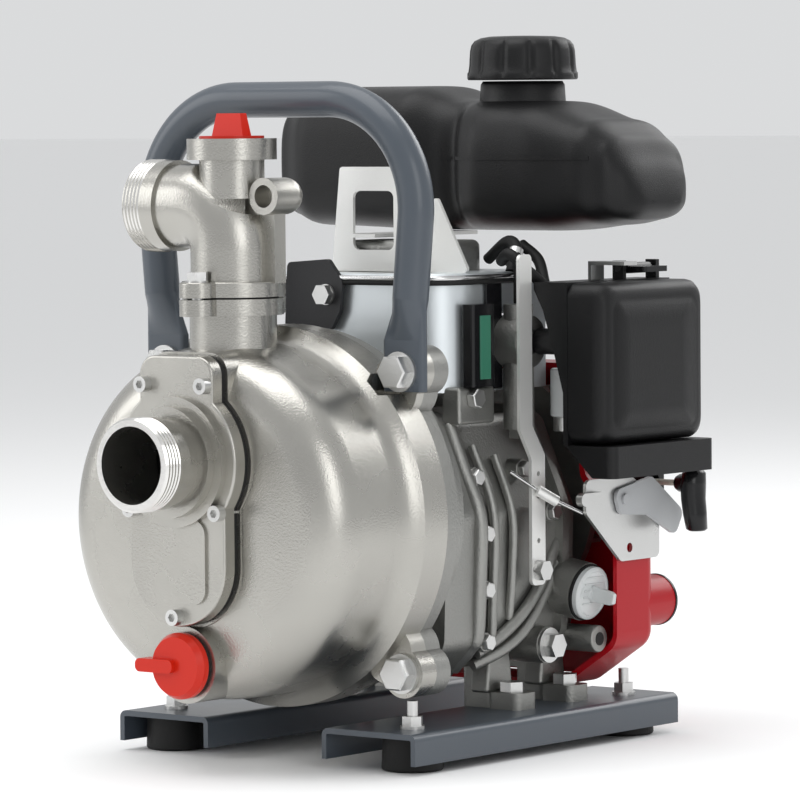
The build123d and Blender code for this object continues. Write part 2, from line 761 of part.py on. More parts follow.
with BuildPart() as piston:
    with BuildSketch(level(PIN_Z - 15, 0, CYLINDER_Y)):
        Circle(BORE_RADIUS - 0.05)
    extrude(amount=30)
    with BuildSketch(level(PIN_Z - 15, 0, CYLINDER_Y)):
        Circle(BORE_RADIUS - 3)
    extrude(amount=25, mode=Mode.SUBTRACT)
    for y in (CYLINDER_Y - 7.5, CYLINDER_Y + 17):
        with BuildSketch(facing_front(y, 0, PIN_Z)):
            Circle(8)
        extrude(amount=9.5)
    with BuildSketch(facing_front(CYLINDER_Y + 25, 0, PIN_Z)):
        Circle(5)
    extrude(amount=50, mode=Mode.SUBTRACT)
    with BuildSketch(facing_front(CYLINDER_Y + 17, 0, PIN_Z)):
        Circle(4.95)
        Circle(3, mode=Mode.SUBTRACT)
    extrude(amount=34)
piston.part.label = "piston"
export_step(piston.part, "parts/piston.step")

FLYWHEEL_BACK = 142.0
FLYWHEEL_RADIUS = 70.0

with BuildPart() as flywheel:
    with BuildSketch(facing_front(FLYWHEEL_BACK - 8, 0, SHAFT_Z)):
        Circle(FLYWHEEL_RADIUS)
        Circle(8, mode=Mode.SUBTRACT)
    extrude(amount=5)
    with BuildSketch(facing_front(FLYWHEEL_BACK - 13, 0, SHAFT_Z)):
        Circle(48)
        Circle(40, mode=Mode.SUBTRACT)
    extrude(amount=12)
    with BuildSketch(facing_front(FLYWHEEL_BACK - 13, 0, SHAFT_Z)):
        Circle(16)
        Circle(8, mode=Mode.SUBTRACT)
    extrude(amount=12)
    for fin in range(18):
        with BuildSketch(turned(FLYWHEEL_BACK, 0, SHAFT_Z, 20 * fin)):
            with Locations((57, 0)):
                Rectangle(26, 2.4)
        extrude(amount=9)
flywheel.part.label = "flywheel"
export_step(flywheel.part, "parts/flywheel.step")

# ---- Cylinder and its covers --------------------------------------------------------

CYLINDER_BASE = 178.0
HEAD_TOP = 256.0
ENGINE_PORT_Z = 219.0

with BuildPart() as cylinder:
    with BuildSketch(level(CYLINDER_BASE, 0, CYLINDER_Y)):
        Circle(29)
    extrude(amount=HEAD_TOP - CYLINDER_BASE)
    with BuildSketch(level(CYLINDER_BASE, 0, CYLINDER_Y)):
        RectangleRounded(72, 61, 8)
    extrude(amount=6)
    for fin in range(8):
        with BuildSketch(level(190 + 6 * fin, 0, CYLINDER_Y)):
            RectangleRounded(80, 72, 8)
        extrude(amount=2)
    with BuildSketch(level(236, 0, CYLINDER_Y)):
        RectangleRounded(70, 64, 6)
    extrude(amount=HEAD_TOP - 236)
    for side in (-1, 1):
        with BuildSketch(facing_right(side * 20, CYLINDER_Y + 10, ENGINE_PORT_Z)):
            RectangleRounded(34, 26, 5)
        extrude(amount=side * 22)
    with BuildSketch(level(CYLINDER_BASE, 0, CYLINDER_Y)):
        Circle(BORE_RADIUS)
    extrude(amount=52, mode=Mode.SUBTRACT)
    with BuildSketch(facing_right(25, CYLINDER_Y + 10, ENGINE_PORT_Z)):
        Circle(8)
    extrude(amount=20, mode=Mode.SUBTRACT)
    with BuildSketch(facing_right(-25, CYLINDER_Y + 10, ENGINE_PORT_Z)):
        Circle(8)
    extrude(amount=-20, mode=Mode.SUBTRACT)
cylinder.part.label = "cylinder"
export_step(cylinder.part, "parts/cylinder.step")

with BuildPart() as head_cover:
    with BuildSketch(level(HEAD_TOP, 0, CYLINDER_Y + 10)):
        RectangleRounded(68, 42, 9)
    extrude(amount=17)
    fillet(head_cover.edges().group_by(Axis.Z)[-1], 4)
    with BuildSketch(level(HEAD_TOP, 0, CYLINDER_Y + 10)):
        RectangleRounded(58, 34, 6)
    extrude(amount=13.5, mode=Mode.SUBTRACT)
head_cover.part.label = "head_cover"
export_step(head_cover.part, "parts/head_cover.step")

SPARK_Z = 243.0

with BuildPart() as spark_plug:
    with BuildSketch(facing_right(-35.2, CYLINDER_Y, SPARK_Z)):
        RegularPolygon(8, 6, major_radius=False)
    extrude(amount=-9)
    with BuildSketch(facing_right(-44, CYLINDER_Y, SPARK_Z)):
        Circle(5)
    extrude(amount=-22)
spark_plug.part.label = "spark_plug"
export_step(spark_plug.part, "parts/spark_plug.step")

with BuildPart() as plug_cap:
    with BuildSketch(facing_right(-54, CYLINDER_Y, SPARK_Z)):
        Circle(8.5)
    extrude(amount=-22)
    with BuildSketch(facing_front(CYLINDER_Y, -67, SPARK_Z)):
        Circle(8)
    extrude(amount=18)
    with BuildSketch(facing_right(-54, CYLINDER_Y, SPARK_Z)):
        Circle(5.05)
    extrude(amount=-13, mode=Mode.SUBTRACT)
plug_cap.part.label = "plug_cap"
export_step(plug_cap.part, "parts/plug_cap.step")

SHROUD_BOTTOM = 193.0
SHROUD_TOP = 252.4
SHEET = 1.2
BRACKET_BOLT_X = -11.0


def shroud_outline(inset):
    """Plan of the cylinder shroud, open towards the fan, shrunk by inset."""
    with BuildSketch() as outline:
        with BuildLine():
            FilletPolyline(
                (-57 + inset, 97),
                (-57 + inset, 3 + inset),
                (62 - inset, 3 + inset),
                (62 - inset, 97),
                radius=28 - inset,
            )
            Line((-57 + inset, 97), (62 - inset, 97))
        make_face()
    return outline.sketch


with BuildPart() as cooling_shroud:
    with BuildSketch(level(SHROUD_BOTTOM)):
        add(shroud_outline(0))
        add(shroud_outline(SHEET), mode=Mode.SUBTRACT)
    extrude(amount=SHROUD_TOP - SHROUD_BOTTOM)
    with BuildSketch(facing_right(0, CYLINDER_Y + 10, ENGINE_PORT_Z)):
        RectangleRounded(38, 30, 6)
    extrude(amount=100, both=True, mode=Mode.SUBTRACT)
    with BuildSketch(facing_right(-50, CYLINDER_Y, SPARK_Z)):
        Circle(8.9)
    extrude(amount=-20, mode=Mode.SUBTRACT)
    with BuildSketch(facing_front(0, BRACKET_BOLT_X, 245)):
        Circle(3.1)
    extrude(amount=-10, mode=Mode.SUBTRACT)
cooling_shroud.part.label = "cooling_shroud"
export_step(cooling_shroud.part, "parts/cooling_shroud.step")

with BuildPart() as shroud_top:
    with BuildSketch(level(SHROUD_TOP)):
        add(shroud_outline(-2))
        with Locations((0, CYLINDER_Y)):
            RectangleRounded(71, 66, 8, mode=Mode.SUBTRACT)
    extrude(amount=4)
    fillet(shroud_top.faces().group_by(Axis.Z)[-1].edges().filter_by(GeomType.CIRCLE).group_by(
        SortBy.RADIUS)[-1], 1.5)
shroud_top.part.label = "shroud_top"
export_step(shroud_top.part, "parts/shroud_top.step")

# ---- Fan cover and recoil starter ---------------------------------------------------

FAN_FRONT = 112.0
FAN_BACK = 150.0
FAN_SHEET = 2.5
RECOIL_BACK = 175.0
DRUM_REEL_RADIUS = 30.0
ROPE_Y = 160.0
ROPE_Z = 138.0
GRIP_X = 119.0


def fan_outline(inset):
    """Rear view of the fan cover: round at the shoulders, squarer at the foot."""
    with BuildSketch() as outline:
        with BuildLine():
            FilletPolyline(
                (-96 + inset, 205 - inset),
                (-98 + inset, 52 + inset),
                (-62 + inset, 28 + inset),
                (62 - inset, 28 + inset),
                (98 - inset, 52 + inset),
                (98 - inset, 126 - inset),
                (76 - inset, 145 - inset),
                (74 - inset, 205 - inset),
                radius=12 - inset,
                close=True,
            )
        make_face()
    return outline.sketch


with BuildPart() as fan_cover:
    with BuildSketch(facing_front(FAN_FRONT)):
        add(fan_outline(0))
    extrude(amount=FAN_FRONT - FAN_BACK)
    fillet(fan_cover.edges().group_by(Axis.Y)[-1], 9)
    with BuildSketch(facing_front(FAN_FRONT)):
        add(fan_outline(FAN_SHEET))
    extrude(amount=FAN_FRONT - FAN_BACK + FAN_SHEET, mode=Mode.SUBTRACT)
    with BuildSketch(facing_front(FAN_BACK - FAN_SHEET, 0, SHAFT_Z)):
        Circle(64)
        Circle(56, mode=Mode.SUBTRACT)
    extrude(amount=FAN_BACK - FAN_SHEET - RECOIL_BACK + 3)
    with BuildSketch(facing_front(FAN_FRONT, 0, SHAFT_Z)):
        Circle(56)
    extrude(amount=-70, mode=Mode.SUBTRACT)
    with BuildSketch(facing_front(138, 84, 72)):
        Circle(14)
    extrude(amount=-30)
    with BuildSketch(facing_right(50, ROPE_Y, ROPE_Z)):
        RectangleRounded(18.2, 18.2, 4)
    extrude(amount=30, mode=Mode.SUBTRACT)
fan_cover.part.label = "fan_cover"
export_step(fan_cover.part, "parts/fan_cover.step")

with BuildPart() as recoil_cover:
    with BuildSketch(facing_front(RECOIL_BACK - 3, 0, SHAFT_Z)):
        Circle(64)
        with PolarLocations(40, 12):
            SlotOverall(20, 7, rotation=0, mode=Mode.SUBTRACT)
    extrude(amount=-3)
    with BuildSketch(facing_front(RECOIL_BACK - 3, 0, SHAFT_Z)):
        Circle(7)
    extrude(amount=17)
    with BuildSketch(facing_right(56.5, ROPE_Y, ROPE_Z)):
        RectangleRounded(18, 18, 4)
        RectangleRounded(9, 9, 4, mode=Mode.SUBTRACT)
    extrude(amount=33)
    with BuildSketch(facing_front(RECOIL_BACK - 3, 67, ROPE_Z)):
        Rectangle(18, 18)
    extrude(amount=-3)
    with BuildSketch(facing_front(RECOIL_BACK - 3, 71, ROPE_Z)):
        Rectangle(10, 18)
    extrude(amount=4)
recoil_cover.part.label = "recoil_cover"
export_step(recoil_cover.part, "parts/recoil_cover.step")

with BuildPart() as recoil_pulley:
    for back, radius, thick in ((171, 38, 2.5), (168.5, DRUM_REEL_RADIUS, 10.5), (158, 38, 2.5)):
        with BuildSketch(facing_front(back, 0, SHAFT_Z)):
            Circle(radius)
        extrude(amount=thick)
    with BuildSketch(facing_front(171.5, 0, SHAFT_Z)):
        Circle(7.08)
    extrude(amount=30, mode=Mode.SUBTRACT)
recoil_pulley.part.label = "recoil_pulley"
export_step(recoil_pulley.part, "parts/recoil_pulley.step")

with BuildPart() as recoil_spring:
    with BuildSketch(facing_front(154.5, 0, SHAFT_Z)):
        Circle(28)
        Circle(26.5, mode=Mode.SUBTRACT)
        Circle(22)
        Circle(20.5, mode=Mode.SUBTRACT)
        Circle(14)
        Circle(7.5, mode=Mode.SUBTRACT)
        Rectangle(56, 2)
        Circle(7.5, mode=Mode.SUBTRACT)
    extrude(amount=5)
recoil_spring.part.label = "recoil_spring"
export_step(recoil_spring.part, "parts/recoil_spring.step")

with BuildPart() as starter_rope:
    with BuildLine(facing_front(ROPE_Y)) as rope_line:
        FilletPolyline((30, 144), (70, ROPE_Z), (GRIP_X - 9, ROPE_Z), radius=60)
    with BuildSketch(Plane(rope_line.wires()[0] @ 0, z_dir=rope_line.wires()[0] % 0)):
        Circle(1.7)
    sweep(path=rope_line.wires()[0])
starter_rope.part.label = "starter_rope"
export_step(starter_rope.part, "parts/starter_rope.step")

with BuildPart() as starter_grip:
    with BuildSketch(level(112, GRIP_X, ROPE_Y - 4)):
        RectangleRounded(12, 15, 4)
    extrude(amount=34.4)
    with BuildSketch(facing_right(GRIP_X - 14, ROPE_Y, ROPE_Z)):
        RectangleRounded(13, 12, 4)
    extrude(amount=15)
    fillet(starter_grip.edges().group_by(Axis.Z)[0] + starter_grip.edges().group_by(Axis.Z)[-1], 3)
    with BuildSketch(facing_right(GRIP_X - 14, ROPE_Y, ROPE_Z)):
        Circle(1.8)
    extrude(amount=8, mode=Mode.SUBTRACT)
starter_grip.part.label = "starter_grip"
export_step(starter_grip.part, "parts/starter_grip.step")

# ---- Exhaust ------------------------------------------------------------------------

with BuildPart() as muffler:
    with BuildSketch(level(132, -104, 66)):
        RectangleRounded(54, 84, 16)
    extrude(amount=68)
    fillet(muffler.edges().group_by(Axis.Z)[0] + muffler.edges().group_by(Axis.Z)[-1], 8)
    with BuildLine(Plane.XZ.offset(-CYLINDER_Y - 10)) as pipe:
        FilletPolyline((-42, ENGINE_PORT_Z), (-86, ENGINE_PORT_Z), (-86, 190), radius=16)
    with BuildSketch(facing_right(-42, CYLINDER_Y + 10, ENGINE_PORT_Z)):
        Circle(9)
    sweep(path=pipe.wires()[0])
    with BuildSketch(facing_front(24, -112, 150)):
        Circle(7)
        Circle(5.5, mode=Mode.SUBTRACT)
    extrude(amount=12)
muffler.part.label = "muffler"
export_step(muffler.part, "parts/muffler.step")

with BuildPart() as muffler_guard:
    with BuildSketch(facing_right(-137, 66, 166)):
        RectangleRounded(90, 72, 8)
        with GridLocations(16, 12, 5, 5):
            SlotOverall(11, 5, mode=Mode.SUBTRACT)
    extrude(amount=1.5)
    for y in (36, 96):
        with BuildSketch(facing_right(-135.5, y, 166)):
            Circle(4)
        extrude(amount=4.4)
muffler_guard.part.label = "muffler_guard"
export_step(muffler_guard.part, "parts/muffler_guard.step")

# ---- Intake -------------------------------------------------------------------------

INTAKE_Y = CYLINDER_Y + 10

with BuildPart() as intake_insulator:
    with BuildSketch(facing_right(42.2, INTAKE_Y, ENGINE_PORT_Z)):
        RectangleRounded(34, 26, 5)
        Circle(8, mode=Mode.SUBTRACT)
    extrude(amount=14)
intake_insulator.part.label = "intake_insulator"
export_step(intake_insulator.part, "parts/intake_insulator.step")

with BuildPart() as carburettor:
    with BuildSketch(facing_right(56.4, INTAKE_Y, ENGINE_PORT_Z)):
        RectangleRounded(32, 24, 5)
    extrude(amount=4)
    with BuildSketch(facing_right(56.4, INTAKE_Y, ENGINE_PORT_Z)):
        Circle(14)
    extrude(amount=23)
    with BuildSketch(level(ENGINE_PORT_Z, 71.2, INTAKE_Y)):
        Circle(8)
    extrude(amount=20)
    with BuildSketch(level(172, 71.2, INTAKE_Y)):
        Circle(8.3)
    extrude(amount=36)
    with BuildSketch(level(172, 71.2, INTAKE_Y)):
        RegularPolygon(5, 6, major_radius=False)
    extrude(amount=-5)
    with BuildSketch(facing_right(56.4, INTAKE_Y, ENGINE_PORT_Z)):
        Circle(7)
    extrude(amount=25, mode=Mode.SUBTRACT)
carburettor.part.label = "carburettor"
export_step(carburettor.part, "parts/carburettor.step")

CLEANER_X = 82.0
CLEANER_SPLIT = 104.0
CLEANER_FACE = 129.0
CLEANER_Y = 107.0
CLEANER_BOTTOM = 164.0
CLEANER_TOP = 251.0

# The case narrows downwards and flares out again into a drip lip under the cover.
CASE_PROFILE = [
    (CLEANER_X, CLEANER_TOP),
    (CLEANER_SPLIT, CLEANER_TOP),
    (CLEANER_SPLIT, CLEANER_BOTTOM),
    (134, CLEANER_BOTTOM),
    (134, 147),
    (120, 147),
    (101, 165),
    (101, 192),
    (95, 214),
    (88, 236),
    (CLEANER_X, CLEANER_TOP - 4),
]
CLIP_Y = CLEANER_Y + 30

with BuildPart() as air_cleaner_case:
    with BuildSketch(facing_front(CLEANER_Y)):
        with BuildLine():
            Polyline(*CASE_PROFILE, close=True)
        make_face()
    extrude(amount=47.5, both=True)
    fillet(air_cleaner_case.edges().filter_by(Axis.Z).group_by(Axis.X)[-1], 5)
    with BuildSketch(facing_front(CLEANER_Y)):
        with BuildLine():
            Polyline(
                (CLEANER_X + 3, CLEANER_TOP - 3),
                (CLEANER_SPLIT, CLEANER_TOP - 3),
                (CLEANER_SPLIT, 200),
                (101.6, 200),
                (97.6, 216),
                (90.6, 238),
                close=True,
            )
        make_face()
    extrude(amount=45, both=True, mode=Mode.SUBTRACT)
    with BuildSketch(facing_right(79.4, INTAKE_Y + 8, ENGINE_PORT_Z)):
        Circle(7)
    extrude(amount=15)
    with BuildSketch(facing_right(79.4, INTAKE_Y + 8, ENGINE_PORT_Z)):
        Circle(5)
    extrude(amount=19, mode=Mode.SUBTRACT)
    for y in (CLIP_Y - 14, CLIP_Y + 17):
        with BuildSketch(facing_front(y, 94, CLEANER_TOP + 5)):
            Rectangle(7, 10)
        extrude(amount=3)
    with BuildSketch(facing_front(CLIP_Y + 25, 94, CLEANER_TOP + 5.8)):
        Circle(2.05)
    extrude(amount=60, mode=Mode.SUBTRACT)
air_cleaner_case.part.label = "air_cleaner_case"
export_step(air_cleaner_case.part, "parts/air_cleaner_case.step")

with BuildPart() as filter_element:
    with BuildSketch(facing_right(CLEANER_X + 17.5, CLEANER_Y, 228)):
        RectangleRounded(84, 36, 5)
    extrude(amount=4)
filter_element.part.label = "filter_element"
export_step(filter_element.part, "parts/filter_element.step")

with BuildPart() as air_cleaner_cover:
    middle = (CLEANER_BOTTOM + CLEANER_TOP) / 2
    with BuildSketch(facing_right(CLEANER_SPLIT + 0.3, CLEANER_Y, middle)):
        RectangleRounded(95, CLEANER_TOP - CLEANER_BOTTOM - 0.6, 8)
    extrude(amount=CLEANER_FACE - CLEANER_SPLIT - 0.3)
    fillet(air_cleaner_cover.edges().group_by(Axis.X)[-1], 4)
    with BuildSketch(facing_right(CLEANER_SPLIT, CLEANER_Y, middle)):
        RectangleRounded(90, CLEANER_TOP - CLEANER_BOTTOM - 5, 6)
    extrude(amount=CLEANER_FACE - CLEANER_SPLIT - 2.5, mode=Mode.SUBTRACT)
    with BuildSketch(facing_right(CLEANER_FACE, CLEANER_Y + 2, middle - 2)):
        RectangleRounded(66, 58, 4)
    extrude(amount=-1.2, mode=Mode.SUBTRACT)
air_cleaner_cover.part.label = "air_cleaner_cover"
export_step(air_cleaner_cover.part, "parts/air_cleaner_cover.step")

with BuildPart() as air_cleaner_clip:
    with BuildSketch(level(CLEANER_TOP + 3.8, 101, CLIP_Y)):
        RectangleRounded(14, 22, 2)
    extrude(amount=3)
    with BuildSketch(facing_front(CLIP_Y + 11, 94, CLEANER_TOP + 5.8)):
        Circle(3)
    extrude(amount=22)
    with BuildSketch(facing_front(CLIP_Y + 17, 94, CLEANER_TOP + 5.8)):
        Circle(2)
    extrude(amount=34)
air_cleaner_clip.part.label = "air_cleaner_clip"
export_step(air_cleaner_clip.part, "parts/air_cleaner_clip.step")

STRAP_X = 79.8

with BuildPart() as stay_strap:
    with BuildSketch(facing_right(STRAP_X)):
        with BuildLine():
            FilletPolyline(
                (47, 266),
                (47, 172),
                (57, 156),
                (57, 88),
                (69, 88),
                (69, 158),
                (58, 174),
                (58, 266),
                radius=3,
                close=True,
            )
        make_face()
        with Locations((63, 148), (63, 136), (63, 112)):
            Circle(1.4, mode=Mode.SUBTRACT)
        with Locations((63, 96)):
            Circle(3.3, mode=Mode.SUBTRACT)
    extrude(amount=2)
stay_strap.part.label = "stay_strap"
export_step(stay_strap.part, "parts/stay_strap.step")

with BuildPart() as cleaner_hook:
    with BuildSketch(level(CLEANER_TOP, 86, CLEANER_Y + 4)):
        Rectangle(2, 12)
    extrude(amount=8)
    with BuildSketch(level(CLEANER_TOP + 8, 97, CLEANER_Y + 4)):
        Rectangle(24, 12)
    extrude(amount=2)
cleaner_hook.part.label = "cleaner_hook"
export_step(cleaner_hook.part, "parts/cleaner_hook.step")

with BuildPart() as ignition_coil:
    with BuildSketch(level(196, 67, 30)):
        RectangleRounded(8, 20, 2)
    extrude(amount=44)
ignition_coil.part.label = "ignition_coil"
export_step(ignition_coil.part, "parts/ignition_coil.step")

# ---- Controls -----------------------------------------------------------------------

PLATE_X = 99.0
LEVER_Y = 112.0
LEVER_Z = 140.0
CHOKE_Y = 88.0
CHOKE_Z = 134.0

with BuildPart() as control_plate:
    with BuildSketch(facing_right(PLATE_X)):
        with BuildLine():
            FilletPolyline(
                (80, 144),
                (80, 126),
                (112, 98),
                (148, 98),
                (148, 128),
                (122, 144),
                radius=4,
                close=True,
            )
        make_face()
        with Locations((LEVER_Y, LEVER_Z - 8)):
            Circle(3.05, mode=Mode.SUBTRACT)
        with Locations((CHOKE_Y, CHOKE_Z)):
            Circle(2.55, mode=Mode.SUBTRACT)
        with Locations((142, 121), (120, 105)):
            Circle(2.6, mode=Mode.SUBTRACT)
    extrude(amount=2)
    with BuildSketch(facing_right(PLATE_X, 134, 103)):
        RectangleRounded(20, 8, 2)
    extrude(amount=-1)
control_plate.part.label = "control_plate"
export_step(control_plate.part, "parts/control_plate.step")

with BuildPart() as throttle_lever:
    with BuildSketch(facing_right(PLATE_X + 2.4)):
        with BuildLine():
            FilletPolyline(
                (LEVER_Y - 9, LEVER_Z - 3),
                (LEVER_Y - 4, LEVER_Z - 16),
                (LEVER_Y + 22, LEVER_Z - 18),
                (LEVER_Y + 48, LEVER_Z - 31),
                (LEVER_Y + 56, LEVER_Z - 18),
                (LEVER_Y + 26, LEVER_Z + 3),
                radius=5,
                close=True,
            )
        make_face()
    extrude(amount=2)
    with BuildSketch(facing_right(PLATE_X - 3, LEVER_Y, LEVER_Z - 8)):
        Circle(3)
    extrude(amount=9)
throttle_lever.part.label = "throttle_lever"
export_step(throttle_lever.part, "parts/throttle_lever.step")

with BuildPart() as choke_lever:
    with BuildSketch(facing_right(PLATE_X - 4, CHOKE_Y, CHOKE_Z)):
        Circle(2.5)
    extrude(amount=10)
    with BuildSketch(facing_right(PLATE_X + 2.4, CHOKE_Y - 7, CHOKE_Z)):
        SlotOverall(22, 7)
    extrude(amount=4)
choke_lever.part.label = "choke_lever"
export_step(choke_lever.part, "parts/choke_lever.step")

with BuildPart() as oil_cap:
    with BuildSketch(OIL_CAP.offset(15.6)):
        Circle(14.5)
    extrude(amount=4)
    with BuildSketch(OIL_CAP.offset(15.6)):
        Circle(10.8)
    extrude(amount=-12)
    with BuildSketch(OIL_CAP.offset(16.6)):
        with Locations((17, 6)):
            RectangleRounded(16, 8, 1.5)
    extrude(amount=3)
oil_cap.part.label = "oil_cap"
export_step(oil_cap.part, "parts/oil_cap.step")

with BuildPart() as oil_drain_bolt:
    with BuildSketch(DRAIN_BOLT):
        Circle(9.5)
    extrude(amount=2)
    with BuildSketch(DRAIN_BOLT.offset(2)):
        RegularPolygon(6, 6, major_radius=False)
    extrude(amount=6)
    with BuildSketch(DRAIN_BOLT):
        Circle(4.9)
    extrude(amount=-18)
oil_drain_bolt.part.label = "oil_drain_bolt"
export_step(oil_drain_bolt.part, "parts/oil_drain_bolt.step")

# ---- Fuel ---------------------------------------------------------------------------

TANK_Y = 126.0
TANK_HALF = 47.0
NECK_X = 26.0
NECK_RADIUS = 23.0
CAP_BOTTOM = 359.8


def tank_profile(inset):
    """Side outline of the fuel tank, a tall hump on the left and a nose on the right."""
    with BuildSketch() as outline:
        with BuildLine():
            FilletPolyline(
                (-127 + inset, 300),
                (-124 + inset, 342 - inset),
                (-88, 356 - inset),
                (-16, 356 - inset),
                (4, 349 - inset),
                (52, 349 - inset),
                (96, 333 - inset),
                (118 - inset, 308),
                (112 - inset, 284 + inset),
                (60, 277 + inset),
                (-100, 277 + inset),
                radius=12,
                close=True,
            )
        make_face()
    return outline.sketch


with BuildPart() as fuel_tank:
    with BuildSketch(facing_front(TANK_Y)):
        add(tank_profile(0))
    extrude(amount=TANK_HALF, both=True)
    fillet(fuel_tank.faces().filter_by(Axis.Y).edges(), 16)
    with BuildSketch(level(330, NECK_X, TANK_Y)):
        Circle(NECK_RADIUS)
    extrude(amount=29)
    with BuildSketch(facing_front(TANK_Y)):
        add(tank_profile(7))
    extrude(amount=TANK_HALF - 7, both=True, mode=Mode.SUBTRACT)
    with BuildSketch(level(320, NECK_X, TANK_Y)):
        Circle(NECK_RADIUS - 3)
    extrude(amount=45, mode=Mode.SUBTRACT)
    with BuildSketch(level(281, 40, 92)):
        Circle(5)
    extrude(amount=-12)
fuel_tank.part.label = "fuel_tank"
export_step(fuel_tank.part, "parts/fuel_tank.step")

with BuildPart() as fuel_cap:
    with BuildSketch(level(CAP_BOTTOM, NECK_X, TANK_Y)):
        Circle(30.5)
    extrude(amount=24.2)
    fillet(fuel_cap.edges().group_by(Axis.Z)[-1], 6)
    with BuildSketch(level(CAP_BOTTOM, NECK_X, TANK_Y)):
        with PolarLocations(31, 24):
            Circle(1.6, mode=Mode.ADD)
    extrude(amount=17, mode=Mode.SUBTRACT)
    with BuildSketch(level(CAP_BOTTOM + 2, NECK_X, TANK_Y)):
        Circle(NECK_RADIUS - 3.3)
    extrude(amount=-14)
fuel_cap.part.label = "fuel_cap"
export_step(fuel_cap.part, "parts/fuel_cap.step")

with BuildPart() as tank_bracket:
    with BuildSketch(facing_front(36)):
        with BuildLine():
            FilletPolyline(
                (-36, 256.4),
                (-30, 313),
                (26, 313),
                (32, 292),
                (36, 298),
                (58, 256.4),
                radius=2,
                close=True,
            )
        make_face()
        with Locations((-7, 284)):
            RectangleRounded(28, 32, 4, mode=Mode.SUBTRACT)
    extrude(amount=2)
    with BuildSketch(level(274.6, -18, 80)):
        Rectangle(24, 92)
    extrude(amount=2)
tank_bracket.part.label = "tank_bracket"
export_step(tank_bracket.part, "parts/tank_bracket.step")

with BuildPart() as black_bracket:
    with BuildSketch(facing_front(1)):
        with BuildLine():
            FilletPolyline(
                (-40, 226),
                (-38, 262),
                (-10, 264),
                (0, 252),
                (-2, 236),
                (-8, 226),
                radius=3,
                close=True,
            )
        make_face()
        with Locations((BRACKET_BOLT_X, 245)):
            Circle(3.2, mode=Mode.SUBTRACT)
    extrude(amount=3)
black_bracket.part.label = "black_bracket"
export_step(black_bracket.part, "parts/black_bracket.step")

# M6 bolts: through the elbow flanges, the stay's foot and the black bracket.
M6_BOLTS = [
    (level(ELBOW_SPLIT + 9, 0, ELBOW_Y - 28.5), 17.6),
    (level(ELBOW_SPLIT + 9, 0, ELBOW_Y + 28.5), 17.6),
    (facing_right(STRAP_X + 2, 63, 96), 3.5),
    (facing_front(-2, BRACKET_BOLT_X, 245), 8),
]

with BuildPart() as m6_bolts:
    for seat, reach in M6_BOLTS:
        with BuildSketch(seat):
            Circle(5.6)
        extrude(amount=1)
        with BuildSketch(seat.offset(1)):
            RegularPolygon(HEX_6, 6, major_radius=False)
        extrude(amount=4.3)
        with BuildSketch(seat):
            Circle(2.95)
        extrude(amount=-reach)
m6_bolts.part.label = "m6_bolts"
export_step(m6_bolts.part, "parts/m6_bolts.step")

# Rings that stay seated in the casing, the elbow and the filler neck.
with BuildPart() as plug_seals:
    for seat, outer, inner in (
        (level(325.4, 0, ELBOW_Y), 16.6, 13.2),
        (facing_front(-134, 0, PLUG_Z), 16.5, 13.3),
        (OIL_CAP.offset(14), 14.8, 11.2),
    ):
        with BuildSketch(seat):
            Circle(outer)
            Circle(inner, mode=Mode.SUBTRACT)
        extrude(amount=1.6)
plug_seals.part.label = "plug_seals"
export_step(plug_seals.part, "parts/plug_seals.step")

# Fuel hose from the tank outlet down to the carburettor, one smooth run of tube.
HOSE_POINTS = [
    (40, 92, 268.6),
    (40, 92, 262.5),
    (48, 84, 260.8),
    (66, 68, 260.8),
    (72, 60, 254),
    (72, 60, 239.4),
]

with BuildPart() as fuel_hose:
    with BuildLine() as hose_path:
        FilletPolyline(*HOSE_POINTS, radius=3.2)
    with BuildSketch(Plane(hose_path.wires()[0] @ 0, z_dir=hose_path.wires()[0] % 0)):
        Circle(3.1)
    sweep(path=hose_path.wires()[0])
fuel_hose.part.label = "fuel_hose"
export_step(fuel_hose.part, "parts/fuel_hose.step")
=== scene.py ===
"""Portable fire pump: materials, fine detail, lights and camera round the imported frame."""

import math

import bmesh
import bpy
from mathutils import Matrix, Vector


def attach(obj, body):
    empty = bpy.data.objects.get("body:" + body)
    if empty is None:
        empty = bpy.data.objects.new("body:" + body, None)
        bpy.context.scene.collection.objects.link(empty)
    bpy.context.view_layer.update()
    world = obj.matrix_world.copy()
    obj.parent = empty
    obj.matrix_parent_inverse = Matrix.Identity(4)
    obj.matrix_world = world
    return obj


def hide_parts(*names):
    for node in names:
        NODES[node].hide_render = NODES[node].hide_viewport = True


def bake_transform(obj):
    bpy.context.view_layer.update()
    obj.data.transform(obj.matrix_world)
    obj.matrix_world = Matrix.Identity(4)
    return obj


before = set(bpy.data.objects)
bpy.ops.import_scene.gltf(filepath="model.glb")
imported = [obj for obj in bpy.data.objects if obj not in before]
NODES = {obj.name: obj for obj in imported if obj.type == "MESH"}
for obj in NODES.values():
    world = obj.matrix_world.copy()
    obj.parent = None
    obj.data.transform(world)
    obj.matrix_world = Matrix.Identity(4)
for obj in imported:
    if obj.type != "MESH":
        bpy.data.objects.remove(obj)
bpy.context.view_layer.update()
MM = 0.001

# ---- Materials ----------------------------------------------------------------------


